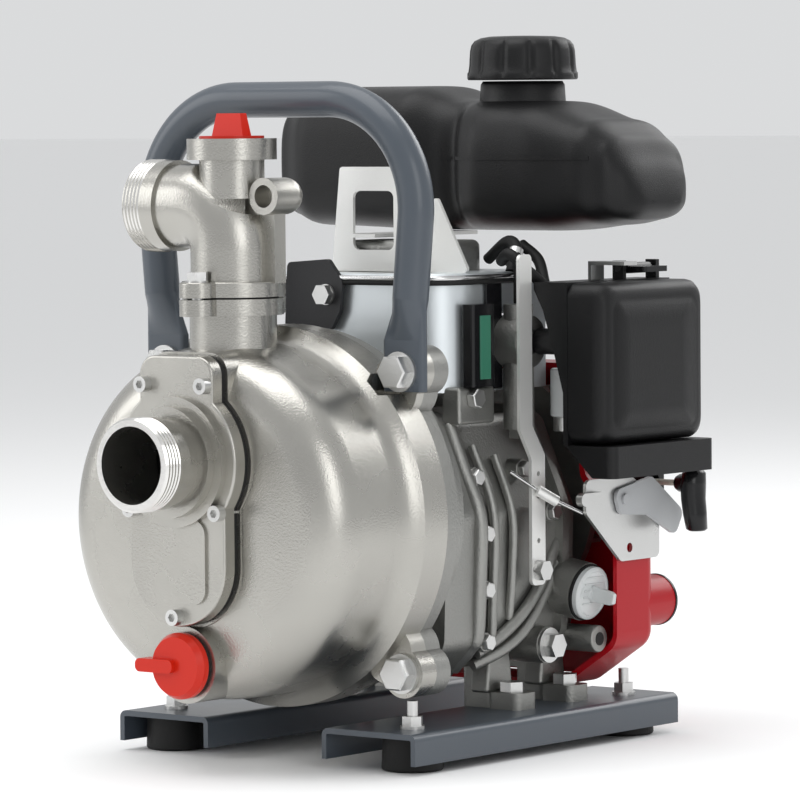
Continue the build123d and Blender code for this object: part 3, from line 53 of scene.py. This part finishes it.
def material(name, colour, metal=0.0, rough=0.5, grain=0.0, scale=400.0, tint=0.0, coat=0.0,
    stretch=(1, 1, 1), gloss=0.5):
    """A principled material with a noise bump, and roughness and colour that wander a little."""
    made = bpy.data.materials.new(name)
    made.use_nodes = True
    tree = made.node_tree
    shader = tree.nodes["Principled BSDF"]
    shader.inputs["Metallic"].default_value = metal
    shader.inputs["Specular IOR Level"].default_value = gloss
    shader.inputs["Coat Weight"].default_value = coat
    shader.inputs["Coat Roughness"].default_value = 0.12
    place = tree.nodes.new("ShaderNodeTexCoord")
    spread = tree.nodes.new("ShaderNodeMapping")
    spread.inputs["Scale"].default_value = stretch
    tree.links.new(place.outputs["Object"], spread.inputs["Vector"])

    noise = tree.nodes.new("ShaderNodeTexNoise")
    noise.inputs["Scale"].default_value = scale
    noise.inputs["Detail"].default_value = 4
    tree.links.new(spread.outputs["Vector"], noise.inputs["Vector"])
    bump = tree.nodes.new("ShaderNodeBump")
    bump.inputs["Strength"].default_value = grain
    bump.inputs["Distance"].default_value = 0.0006
    tree.links.new(noise.outputs["Fac"], bump.inputs["Height"])
    tree.links.new(bump.outputs["Normal"], shader.inputs["Normal"])

    patches = tree.nodes.new("ShaderNodeTexNoise")
    patches.inputs["Scale"].default_value = 22
    patches.inputs["Detail"].default_value = 5
    tree.links.new(spread.outputs["Vector"], patches.inputs["Vector"])
    shine = tree.nodes.new("ShaderNodeMapRange")
    shine.inputs["To Min"].default_value = max(rough - 0.08, 0.03)
    shine.inputs["To Max"].default_value = rough + 0.08
    tree.links.new(patches.outputs["Fac"], shine.inputs["Value"])
    tree.links.new(shine.outputs["Result"], shader.inputs["Roughness"])

    mix = tree.nodes.new("ShaderNodeMix")
    mix.data_type = "RGBA"
    mix.inputs["A"].default_value = (*[c * (1 - tint) for c in colour], 1)
    mix.inputs["B"].default_value = (*[min(c * (1 + tint), 1) for c in colour], 1)
    tree.links.new(patches.outputs["Fac"], mix.inputs["Factor"])
    tree.links.new(mix.outputs["Result"], shader.inputs["Base Color"])
    return made


CAST = material("cast aluminium", (0.43, 0.42, 0.39), 0.97, 0.27, 0.22, 900, 0.14)
MACHINED = material("machined aluminium", (0.74, 0.73, 0.71), 1.0, 0.20, 0.10, 500, 0.05, stretch=(1, 6, 1))
ENGINE = material("engine aluminium", (0.31, 0.31, 0.295), 0.92, 0.45, 0.5, 700, 0.16)
SLATE = material("slate paint", (0.055, 0.068, 0.085), 0.0, 0.38, 0.05, 700, 0.06, 0.25)
ORANGE = material("orange red plastic", (0.56, 0.018, 0.006), 0.0, 0.30, 0.03, 500, 0.05, gloss=0.3)
RED = material("bright red paint", (0.40, 0.002, 0.008), 0.0, 0.34, 0.04, 500, 0.06, gloss=0.3)
BLACK = material("black plastic", (0.005, 0.005, 0.0055), 0.0, 0.42, 0.30, 1400, 0.10, gloss=0.28)
GLOSSY = material("smooth black plastic", (0.006, 0.006, 0.007), 0.0, 0.24, 0.04, 700, 0.10, gloss=0.35)
RUBBER = material("black rubber", (0.009, 0.009, 0.009), 0.0, 0.6, 0.25, 900, 0.12, gloss=0.3)
ZINC = material("zinc plate", (0.62, 0.62, 0.61), 0.95, 0.30, 0.12, 800, 0.10)
WHITE_ZINC = material("pale zinc sheet", (0.78, 0.78, 0.76), 0.55, 0.36, 0.10, 700, 0.05)
STEEL = material("ground steel", (0.60, 0.60, 0.60), 1.0, 0.24, 0.06, 900, 0.05)
SHEET = material("silver sheet", (0.66, 0.70, 0.72), 0.75, 0.32, 0.04, 400, 0.04)
GREY = material("light grey plastic", (0.42, 0.43, 0.44), 0.0, 0.40, 0.05, 700, 0.05)
DARK_STEEL = material("black steel", (0.02, 0.02, 0.022), 0.2, 0.42, 0.15, 900, 0.10)
CLEAR = material("clear grey plastic", (0.56, 0.58, 0.58), 0.0, 0.28, 0.05, 500, 0.04, 0.3)
FOAM = material("filter foam", (0.03, 0.03, 0.03), 0.0, 0.9, 0.9, 1500, 0.3)
ROPE = material("rope fibre", (0.62, 0.60, 0.52), 0.0, 0.8, 0.6, 1500, 0.15)
DARK = material("shadowed opening", (0.006, 0.006, 0.006), 0.0, 0.7, 0.05, 500, 0.05)
GREEN = material("green label plastic", (0.03, 0.16, 0.10), 0.0, 0.4, 0.05, 500, 0.05)

BY_NODE = {
    CAST: "pump_casing suction_cover discharge_elbow volute",
    ENGINE: "pump_adapter crankcase crankcase_cover cylinder head_cover carburettor piston flywheel impeller",
    SLATE: "base_channels carry_handle",
    ORANGE: "priming_plug drain_plug",
    RED: "fan_cover",
    BLACK: "fuel_tank fuel_cap air_cleaner_case air_cleaner_cover starter_grip recoil_pulley recoil_cover",
    GLOSSY: "ignition_coil intake_insulator air_cleaner_clip",
    RUBBER: "rubber_feet pump_gaskets plug_seals suction_flap shaft_seals plug_cap fuel_hose seal_head",
    ZINC: "base_fasteners casing_bolts m6_bolts oil_drain_bolt suction_cover_screws cleaner_hook control_plate "
    "choke_lever",
    WHITE_ZINC: "stay_strap tank_bracket",
    GREY: "throttle_lever",
    DARK_STEEL: "black_bracket muffler muffler_guard",
    SHEET: "cooling_shroud shroud_top",
    STEEL: "crankshaft camshaft crank_bearings recoil_spring spark_plug",
    CLEAR: "oil_cap",
    FOAM: "filter_element",
    ROPE: "starter_rope",
}
for finish, names in BY_NODE.items():
    for name in names.split():
        NODES[name].data.materials.clear()
        NODES[name].data.materials.append(finish)

# ---- Mesh helpers, all in millimetres ------------------------------------------------


def piece(name, mesh, finish, body="pump_body", bevel=0.0, smooth=35.0, replaced=()):
    """Links a mesh given in millimetres, rides it on a body and, if asked, stands for CAD nodes."""
    name = name.replace(" ", "_")
    mesh.transform(Matrix.Scale(MM, 4))
    mesh.materials.append(finish)
    mesh.shade_smooth()
    mesh.set_sharp_from_angle(angle=math.radians(smooth))
    made = bpy.data.objects.new(name, mesh)
    bpy.context.scene.collection.objects.link(made)
    if bevel:
        rounding = made.modifiers.new("soft edges", "BEVEL")
        rounding.width = bevel * MM
        rounding.segments = 3
        rounding.limit_method = "ANGLE"
        rounding.harden_normals = True
    if replaced:
        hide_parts(*replaced)
    if body:
        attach(made, body)
    return made


def loft(name, rings, closed=True):
    """A skin through rings of equally many points, with both ends closed."""
    mesh = bmesh.new()
    rows = [[mesh.verts.new(p) for p in ring] for ring in rings]
    count = len(rows[0])
    for low, high in zip(rows, rows[1:]):
        for k in range(count):
            mesh.faces.new((low[k], low[(k + 1) % count], high[(k + 1) % count], high[k]))
    if closed:
        mesh.faces.new(list(reversed(rows[0])))
        mesh.faces.new(rows[-1])
    bmesh.ops.recalc_face_normals(mesh, faces=mesh.faces)
    made = bpy.data.meshes.new(name)
    mesh.to_mesh(made)
    mesh.free()
    return made


def axes_for(direction):
    """Two unit vectors square to a direction."""
    along = Vector(direction).normalized()
    side = along.orthogonal().normalized()
    return along, side, along.cross(side)


def lathe(name, profile, base, direction, steps=64, ripple=None):
    """Turns (distance along, radius) points about an axis; ripple changes the radius with the angle."""
    along, side, other = axes_for(direction)
    rings = []
    for reach, radius in profile:
        ring = []
        for k in range(steps):
            angle = 2 * math.pi * k / steps
            grown = radius * (ripple(angle, reach) if ripple else 1)
            out = side * math.cos(angle) + other * math.sin(angle)
            ring.append(Vector(base) + along * reach + out * max(grown, 0.02))
        rings.append(ring)
    return loft(name, rings)


def prism(name, outline, origin, first, second, depth):
    """Pushes a flat outline in (first, second) coordinates along their cross product."""
    u, v = Vector(first), Vector(second)
    w = u.cross(v)
    flat = [Vector(origin) + u * a + v * b for a, b in outline]
    return loft(name, [flat, [p + w * depth for p in flat]])


def curve_through(points, steps=10):
    """Points on a smooth curve through the given ones."""
    knots = [Vector(p) for p in points]
    knots = [2 * knots[0] - knots[1], *knots, 2 * knots[-1] - knots[-2]]
    result = []
    for a, b, c, d in zip(knots, knots[1:], knots[2:], knots[3:]):
        for k in range(steps):
            t = k / steps
            result.append(
                0.5 * (2 * b + (c - a) * t + (2 * a - 5 * b + 4 * c - d) * t * t + (3 * b - a - 3 * c + d) * t**3)
            )
    result.append(knots[-2])
    return result


def tube(name, points, radius, steps=10, sides=16, flat=1.0):
    """A round or flattened rod swept through points."""
    path = curve_through(points, steps)
    rings = []
    side = None
    for k, p in enumerate(path):
        ahead = path[min(k + 1, len(path) - 1)] - path[max(k - 1, 0)]
        along = ahead.normalized()
        side = (side - along * side.dot(along)).normalized() if side else along.orthogonal().normalized()
        other = along.cross(side)
        ring = []
        for j in range(sides):
            angle = 2 * math.pi * j / sides
            ring.append(p + side * radius * math.cos(angle) + other * radius * flat * math.sin(angle))
        rings.append(ring)
    return loft(name, rings)


def rod(name, start, end, radius, sides=32):
    """A straight cylinder from start to end."""
    reach = (Vector(end) - Vector(start)).length
    return lathe(name, [(0, radius), (reach, radius)], start, Vector(end) - Vector(start), sides)


def hexagon(name, base, direction, half_flats, height):
    """A hexagon head with a chamfered top."""
    corner = half_flats / math.cos(math.pi / 6)
    return lathe(name, [(0, corner), (height - 0.7, corner), (height, corner * 0.9)], base, direction, 6)


def blend_value(table, x):
    """Smooth interpolation in a table of (x, value)."""
    if x <= table[0][0]:
        return table[0][1]
    for (a, low), (b, high) in zip(table, table[1:]):
        if x <= b:
            t = (x - a) / (b - a)
            return low + (high - low) * t * t * (3 - 2 * t)
    return table[-1][1]


# ---- Fuel tank and cap ---------------------------------------------------------------

TANK_Y = 126.0
NECK = (26.0, 126.0)
TANK_TOP = [(-127, 326), (-118, 348), (-90, 357), (-30, 357), (-2, 349), (30, 349), (52, 348),
    (90, 338), (104, 329), (113, 313), (118, 297)]
TANK_FLOOR = [(-127, 300), (-118, 284), (-100, 279), (-20, 277), (60, 277), (92, 280), (110, 283),
    (118, 289)]
TANK_FRONT = [(-127, 16), (-118, 36), (-95, 45), (-30, 44), (-8, 36), (4, 33), (14, 44), (26, 47),
    (58, 46), (90, 41), (104, 35), (113, 26), (118, 14)]


TANK_REAR = [(-127, 20), (-118, 38), (-95, 46), (80, 46), (104, 41), (113, 33), (118, 20)]


def tank_ring(x, inset=0.0):
    """Section of the tank at x: a rounded box, fuller in front of the filler."""
    top = blend_value(TANK_TOP, x) - inset
    floor = blend_value(TANK_FLOOR, x) + inset
    half = blend_value(TANK_FRONT, x) - inset
    middle = (top + floor) / 2
    ring = []
    for k in range(56):
        angle = 2 * math.pi * k / 56
        c, s = math.cos(angle), math.sin(angle)
        across = math.copysign(abs(c) ** 0.55, c) * (half if c < 0 else blend_value(TANK_REAR, x))
        rise = math.copysign(abs(s) ** 0.62, s) * (top - floor) / 2
        ring.append((x, TANK_Y + across, middle + rise))
    return ring


tank_xs = [-127 + 245 * k / 60 for k in range(61)]
tank_rings = [tank_ring(tank_xs[0] + 0.4,
    10)] + [tank_ring(x) for x in tank_xs] + [tank_ring(tank_xs[-1] - 0.1, 6)]
tank = piece("tank shell", loft("tank shell", tank_rings), BLACK, smooth=80,
    replaced=("fuel_tank",))
tank.modifiers.new("rounder", "SUBSURF").levels = 1
piece(
    "filler neck",
    lathe("filler neck", [(0, 31), (8, 27), (15, 24.2), (30, 23.2), (32, 22)], (*NECK, 327), (0, 0, 1)),
    BLACK,
    smooth=60,
)
piece(
    "tank seam",
    loft(
        "tank seam",
        [[(x, TANK_Y - blend_value(TANK_FRONT, x) * f, z) for f, z in seam] for x, seam in
         ((x, ((0.985, 318), (1.01, 318), (1.01, 316), (0.985, 316))) for x in tank_xs[30:56])],
    ),
    BLACK,
)


def cap_ripple(angle, reach):
    """Finger flutes round the filler cap, fading out at its rims."""
    if reach < 3 or reach > 21:
        return 1.0
    return 1 - 0.05 * max(0.0, math.cos(12 * angle)) ** 3


CAP_PROFILE = [(0, 18), (0, 30), (0.8, 30.5), (3.6, 30.5), (4.4, 29.9), (8, 29.4), (12, 29.2),
    (16, 28.9), (19, 28.2)]
CAP_PROFILE += [(21.4, 26.4), (23, 23), (23.8, 18), (24.1, 8), (24.1, 0.1)]
piece(
    "filler cap",
    lathe("filler cap", CAP_PROFILE, (*NECK, 359.8), (0, 0, 1), 144, cap_ripple),
    BLACK,
    "fuel_filler_cap",
    smooth=50,
    replaced=("fuel_cap",),
)

# ---- Measures of the small pieces, in millimetres -------------------------------------
ROPE_RADIUS = 1.7
ROPE_STEP = 1.2  # distance between the rope's rings at rest
ROPE_RINGS = 48
ROPE_Y, ROPE_Z = 160, 138  # the line on which the rope leaves the fan cover
HOSE_RADIUS = 3.1
FILTER_X, FILTER_Y = 86, 82  # upright axis of the fuel filter
FILTER_SEAT, FILTER_TOP = 178, 204
CABLE_ROUTE = [(77, 44, 150), (82, 58, 141), (88, 68, 134), (97, 82, 126)]
CABLE_RADIUS = 0.9
OIL_BOSS_Y, OIL_BOSS_Z = 104, 56
CASE_BOSS_RADIUS = 5.4

# ---- Threaded ends of the two hose ports ---------------------------------------------


def threads(name, mouth, direction, length, inner, outer):
    """A thin machined sleeve with a pipe thread outside, over the end of a port."""
    along, side, other = axes_for(direction)
    pitch = 2.3
    profile = [(0, inner), (0.25, inner - 0.3), (0.25, outer - 1.2)]
    for turn in range(int(length / pitch)):
        start = -1.2 - turn * pitch
        profile += [(start, outer - 0.1), (start - pitch / 2, outer - 0.9)]
    profile.append((-length, inner + 1))
    steps = 96
    rings = []
    for k in range(steps + 1):
        angle = 2 * math.pi * k / steps
        out = side * math.cos(angle) + other * math.sin(angle)
        rings.append([Vector(mouth) + along * reach + out * radius for reach, radius in profile])
    return piece(name, loft(name, rings, closed=False), MACHINED, smooth=25)


threads("suction threads", (0, -175, 163.4), (0, -1, 0), 13, 20.4, 24.5)
threads("discharge threads", (-55.5, -93, 294.3), (-1, 0, 0), 13, 19.7, 24.5)

# ---- Air cleaner cover ---------------------------------------------------------------



def rounded(y0, y1, z0, z1, radius, x, steps=8):
    """A rounded rectangle in the Y-Z plane at x."""
    ring = []
    centres = ((y1 - radius, z1 - radius, 0), (y0 + radius, z1 - radius, 90),
        (y0 + radius, z0 + radius, 180))
    for cy, cz, start in (*centres, (y1 - radius, z0 + radius, 270)):
        for k in range(steps + 1):
            angle = math.radians(start + 90 * k / steps)
            ring.append((x, cy + radius * math.cos(angle), cz + radius * math.sin(angle)))
    return ring


cover_rings = []
for x, inset, radius in (
    (104.3, 0, 8),
    (119, 0, 8),
    (123, 0.6, 8.4),
    (126, 2.2, 9),
    (127.6, 4.4, 9.5),
    (128, 8, 8),
    (128, 10.2, 6),
    (129, 11.4, 5.5),
    (129, 24, 2),
):
    cover_rings.append(
        rounded(59.5 + inset, 154.5 - inset, 164.3 + inset * 0.8, 250.7 - inset, radius, x)
    )
piece(
    "cleaner cover",
    loft("cleaner cover", cover_rings),
    BLACK,
    "cleaner_cover",
    smooth=60,
    replaced=("air_cleaner_cover",),
)
# ---- Starter grip and rope -----------------------------------------------------------

GRIP = Vector((117.5, 157.0, 130.0))
grip_rings = []
for z, across, depth, lean in ((-17.6, 4, 5, 2.5), (-16.5, 5.6, 6.6, 2.2), (-8, 6.2, 7.4, 1),
    (0, 6.4, 7.6, 0), (8, 6.6, 8, 0), (14, 6.2, 7.4, 0.4), (16, 4.4, 5.4, 0.6)):
    grip_rings.append(
        [
            (
                GRIP.x + lean + across * math.cos(2 * math.pi * k / 28),
                GRIP.y + depth * math.sin(2 * math.pi * k / 28),
                GRIP.z + z,
            )
            for k in range(28)
        ]
    )
piece("pull handle", loft("pull handle", grip_rings), GLOSSY, "grip", smooth=60,
    replaced=("starter_grip",))
piece("pull stub", lathe("pull stub", [(0, 4), (2, 5), (9, 5.6), (13, 6)], (105, ROPE_Y, ROPE_Z),
    (1, 0, 0), 32), GLOSSY, "grip")

# The rope pays out of the starter as the grip is pulled.
rope_run = lathe("starter_cord", [(ROPE_STEP * k, ROPE_RADIUS) for k in range(ROPE_RINGS)],
    (52, ROPE_Y, ROPE_Z), (1, 0, 0), 20)
rope = piece("starter_cord", rope_run, ROPE, body=None, smooth=60,
    replaced=("starter_rope",))
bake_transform(rope)

# ---- Crankcase, adapter and cylinder detail ------------------------------------------


def side_rib(name, points, radius, finish=ENGINE, flat=1.0):
    """A raised bead that follows points on the casting."""
    return piece(name, tube(name, points, radius, 8, 14, flat), finish, smooth=50)


side_rib("flange bead low", [(58, 17, 46), (70, 17, 58), (74.5, 17, 66), (76.5, 17, 100),
    (76.5, 17, 128), (66, 17, 152), (56, 17, 176)], 4.2)
side_rib("flange bead mid", [(60, 33, 47), (71, 33, 60), (73, 33, 80), (74, 33, 128), (60, 33, 164)], 2.6)
side_rib("diagonal bead", [(70, 96, 112), (73, 80, 92), (74, 60, 74), (73, 40, 62), (70, 22, 54)], 3.2)
side_rib("diagonal bead low", [(70, 96, 100), (73, 80, 82), (74, 60, 64), (72, 42, 54), (66, 24, 47)], 3.2)
side_rib("upright bead", [(71, 50, 70), (73.5, 50, 96), (73.5, 50, 128), (62, 50, 158)], 2.4)
for k, (y, z) in enumerate(((24, 148), (24, 118), (24, 88), (24, 60), (84, 126), (66, 150))):
    x = 70.5 if z < 135 else 64
    piece(f"case boss {k}", rod(f"case boss {k}", (x - 8, y, z), (x + 5, y, z), CASE_BOSS_RADIUS),
        ENGINE, bevel=0.8)
    piece(f"case screw {k}", hexagon(f"case screw {k}", (x + 5, y, z), (1, 0, 0), 4, 3.6), ZINC,
        bevel=0.3)
piece("oil boss", rod("oil boss", (66, OIL_BOSS_Y, OIL_BOSS_Z), (92, OIL_BOSS_Y, OIL_BOSS_Z), 7.4),
    ENGINE, bevel=0.9)
piece("oil boss bore", rod("oil boss bore", (91.6, OIL_BOSS_Y, OIL_BOSS_Z),
    (92.3, OIL_BOSS_Y, OIL_BOSS_Z), 3.6), DARK)
for k, y in enumerate((54, 102)):
    piece(
        f"foot web {k}",
        prism(f"foot web {k}", [(-12, 0), (12, 0), (9, 24), (5, 38), (-5, 38), (-9, 24)],
            (50, y, 30), (0, 1, 0), (0, 0, 1), 12),
        ENGINE,
        bevel=2.0,
    )

# Adapter ribs between the pump rim and the engine.
for k in range(10):
    angle = math.radians(-52 + 15 * k)
    out = Vector((math.cos(angle), 0, math.sin(angle)))
    start = Vector((0, -30, 130)) + out * 84
    end = Vector((0, 4, 130)) + out * 74
    if end.x > 10:
        side_rib(f"adapter rib {k}", [start, (start + end) / 2 + out * 1.5, end], 2.6)

# Cylinder side: dark cowl, green strip, clear filter, hoses.
piece("cowl edge", prism("cowl edge", [(0, 0), (14, 0), (14, 58), (0, 58)], (62.6, 41, 194),
    (0, 1, 0), (0, 0, 1), 1.6), GLOSSY, bevel=0.5)
piece("green strip", prism("green strip", [(0, 0), (9, 0), (9, 34), (0, 34)], (70.5, 26, 200),
    (0, 1, 0), (0, 0, 1), 1.2), GREEN, bevel=0.4)
piece("flange block", prism("flange block", [(-16, -10), (16, -10), (16, 10), (-16, 10)],
    (54, 30, 186), (0, 1, 0), (0, 0, 1), 12), ENGINE, bevel=2)
piece("flange screw", hexagon("flange screw", (66, 26, 190), (1, 0, 0), 5, 5), ZINC,
    bevel=0.4)
piece("filter glass", rod("filter glass", (FILTER_X, FILTER_Y, FILTER_SEAT),
    (FILTER_X, FILTER_Y, FILTER_TOP), 8), CLEAR, bevel=1.2)
piece("filter foot", rod("filter foot", (FILTER_X, FILTER_Y, 170),
    (FILTER_X, FILTER_Y, FILTER_SEAT), 6.5), ZINC, bevel=0.6)
for k, route in enumerate((
    [(30, 88, 262), (48, 82, 272), (60, 74, 268), (62, 66, 256)],
    [(50, 92, 270), (64, 88, 262), (74, 80, 250), (80, 78, 236), (84, 80, 212), (86, 82, 204)],
    [(60, 60, 262), (70, 54, 266), (78, 58, 258), (80, 70, 250)],
)):
    piece(f"hose {k}", tube(f"hose {k}", route, HOSE_RADIUS), RUBBER, smooth=60)
piece("hose clip", lathe("hose clip", [(0, 3.9), (4, 3.9)], (60, 74, 268), (2, -8, -12), 32), ZINC,
    bevel=0.4)

# Oil filler cap: a ribbed pale disc with a grip tab, over a dark ring.
OIL_AXIS = Vector((0.98583, 0, -0.1678))
OIL_SEAT = Vector((72, 100, 84)) + OIL_AXIS * 15.6
disc = [(0, 14.6), (2.6, 14.6), (3.4, 13.8), (3.8, 12.6), (3.0, 11.8), (3.0, 4), (4.2, 3.4), (4.2, 0.1)]
piece("oil_cap_disc", lathe("oil_cap_disc", disc, OIL_SEAT, OIL_AXIS, 72), CLEAR, "oil_filler_cap",
    smooth=40, replaced=("oil_cap",))
TAB_UP = OIL_AXIS.cross(Vector((0, -1, 0))).normalized()
tab_side = OIL_AXIS.cross(TAB_UP)
tab_outline = [(0, -4.5), (13, -3.6), (15, -2.6), (15, 2.6), (13, 3.6), (0, 4.5)]
piece("oil_cap_tab", prism("oil_cap_tab", tab_outline, OIL_SEAT + OIL_AXIS * 3 - tab_side * 1.6,
    OIL_AXIS, TAB_UP, 3.2), CLEAR, "oil_filler_cap", bevel=0.6)
for k in range(5):
    start = OIL_SEAT + OIL_AXIS * 3.1 + TAB_UP * (-9 + 3.6 * k) - tab_side * 8
    piece(f"oil_cap_rib_{k}", rod(f"oil_cap_rib_{k}", start, start + tab_side * 16, 0.5, 10), CLEAR,
        "oil_filler_cap")
piece("oil_cap_ring", lathe("oil_cap_ring", [(0, 15.6), (1.3, 15.6)], OIL_SEAT - OIL_AXIS * 1.5,
    OIL_AXIS, 64), RUBBER, smooth=40)

# Throttle cable: a thin wire with a pale ferrule that ends at the control plate.
piece("cable_wire", tube("cable_wire", CABLE_ROUTE, CABLE_RADIUS), STEEL, smooth=60)
piece("cable_ferrule", rod("cable_ferrule", (83, 60, 139.6), (89, 70, 132.8), 3.0), WHITE_ZINC,
    bevel=0.5)

# Rim of the round bump on the fan cover.
piece("bump_rim", lathe("bump_rim", [(0, 14.4), (1.6, 14.4), (2.2, 13.6), (2.2, 0.1)],
    (84, 167.4, 72), (0, 1, 0), 48), GLOSSY, smooth=40)

# Thin dark joints where castings meet, and the bright rail under the top plate.
rail = [(-50, 0.2, 254), (-30, 0, 254), (30, 0, 254), (52, 4, 254), (62, 16, 254), (64, 34, 254),
    (64, 90, 254)]
piece("shroud rail", tube("shroud rail", rail, 1.5), STEEL, smooth=60)
gasket = [(x + (0 if abs(x) < 40 else 0.4), y - 0.2, 251.6) for x, y, z in rail]
piece("shroud gasket", tube("shroud gasket", gasket, 1.3), RUBBER, smooth=60)

# ---- Floor, lights and camera -------------------------------------------------------

FLOOR = material("pale floor", (0.93, 0.93, 0.93), 0.0, 0.75, 0.0, 100, 0.0)
FLOOR_HALF = 60.0


def floor_sheet():
    """A wide flat pale floor that reaches the horizon."""
    mesh = bpy.data.meshes.new("floor")
    corners = [(x, y, -0.0002) for x, y in ((-1, -1), (1, -1), (1, 1), (-1, 1))]
    mesh.from_pydata([(x * FLOOR_HALF, y * FLOOR_HALF, z) for x, y, z in corners], [], [(0, 1, 2, 3)])
    mesh.materials.append(FLOOR)
    sheet = bpy.data.objects.new("floor", mesh)
    bpy.context.scene.collection.objects.link(sheet)


floor_sheet()


def softbox(name, place, target, size, power, colour=(1, 1, 1)):
    """An area light at place, facing target."""
    lamp = bpy.data.lights.new(name, "AREA")
    lamp.shape = "RECTANGLE"
    lamp.size, lamp.size_y = size
    lamp.energy = power
    lamp.color = colour
    made = bpy.data.objects.new(name, lamp)
    made.location = place
    made.rotation_euler = (Vector(target) - Vector(place)).to_track_quat("-Z", "Y").to_euler()
    bpy.context.scene.collection.objects.link(made)


MIDDLE = (0.0, 0.0, 0.19)
softbox("overhead", (-0.2, -0.3, 1.9), MIDDLE, (1.6, 1.6), 20)
softbox("left front", (-1.7, -1.3, 1.0), MIDDLE, (1.2, 1.5), 12)
softbox("right front", (1.9, -0.9, 0.9), MIDDLE, (0.9, 1.4), 8)
softbox("behind", (0.3, 1.9, 1.3), MIDDLE, (1.6, 0.9), 14)

world = bpy.data.worlds.new("studio")
world.use_nodes = True
world.node_tree.nodes["Background"].inputs["Color"].default_value = (0.90, 0.91, 0.92, 1)
world.node_tree.nodes["Background"].inputs["Strength"].default_value = 0.78
bpy.context.scene.world = world

CAMERA_TARGET = Vector((0.25, 47.0, 186.1)) * MM
CAMERA_AZIMUTH = math.radians(38.13)
CAMERA_ELEVATION = math.radians(3.21)
CAMERA_ROLL = math.radians(-0.46)
CAMERA_DISTANCE = 2757.9 * MM
CAMERA_LENS = 228.1

away = Vector(
    (
        math.sin(CAMERA_AZIMUTH) * math.cos(CAMERA_ELEVATION),
        -math.cos(CAMERA_AZIMUTH) * math.cos(CAMERA_ELEVATION),
        math.sin(CAMERA_ELEVATION),
    )
)
camera_data = bpy.data.cameras.new("camera")
camera_data.lens = CAMERA_LENS
camera_data.sensor_width = 36
camera = bpy.data.objects.new("camera", camera_data)
across = Vector((math.cos(CAMERA_AZIMUTH), math.sin(CAMERA_AZIMUTH), 0))
upward = away.cross(across)
rolled = across * math.cos(CAMERA_ROLL) + upward * math.sin(CAMERA_ROLL)
raised = upward * math.cos(CAMERA_ROLL) - across * math.sin(CAMERA_ROLL)
facing = Matrix((rolled, raised, away)).transposed().to_4x4()
camera.matrix_world = Matrix.Translation(CAMERA_TARGET + away * CAMERA_DISTANCE) @ facing
bpy.context.scene.collection.objects.link(camera)
bpy.context.scene.camera = camera
bpy.context.scene.view_settings.view_transform = "Standard"
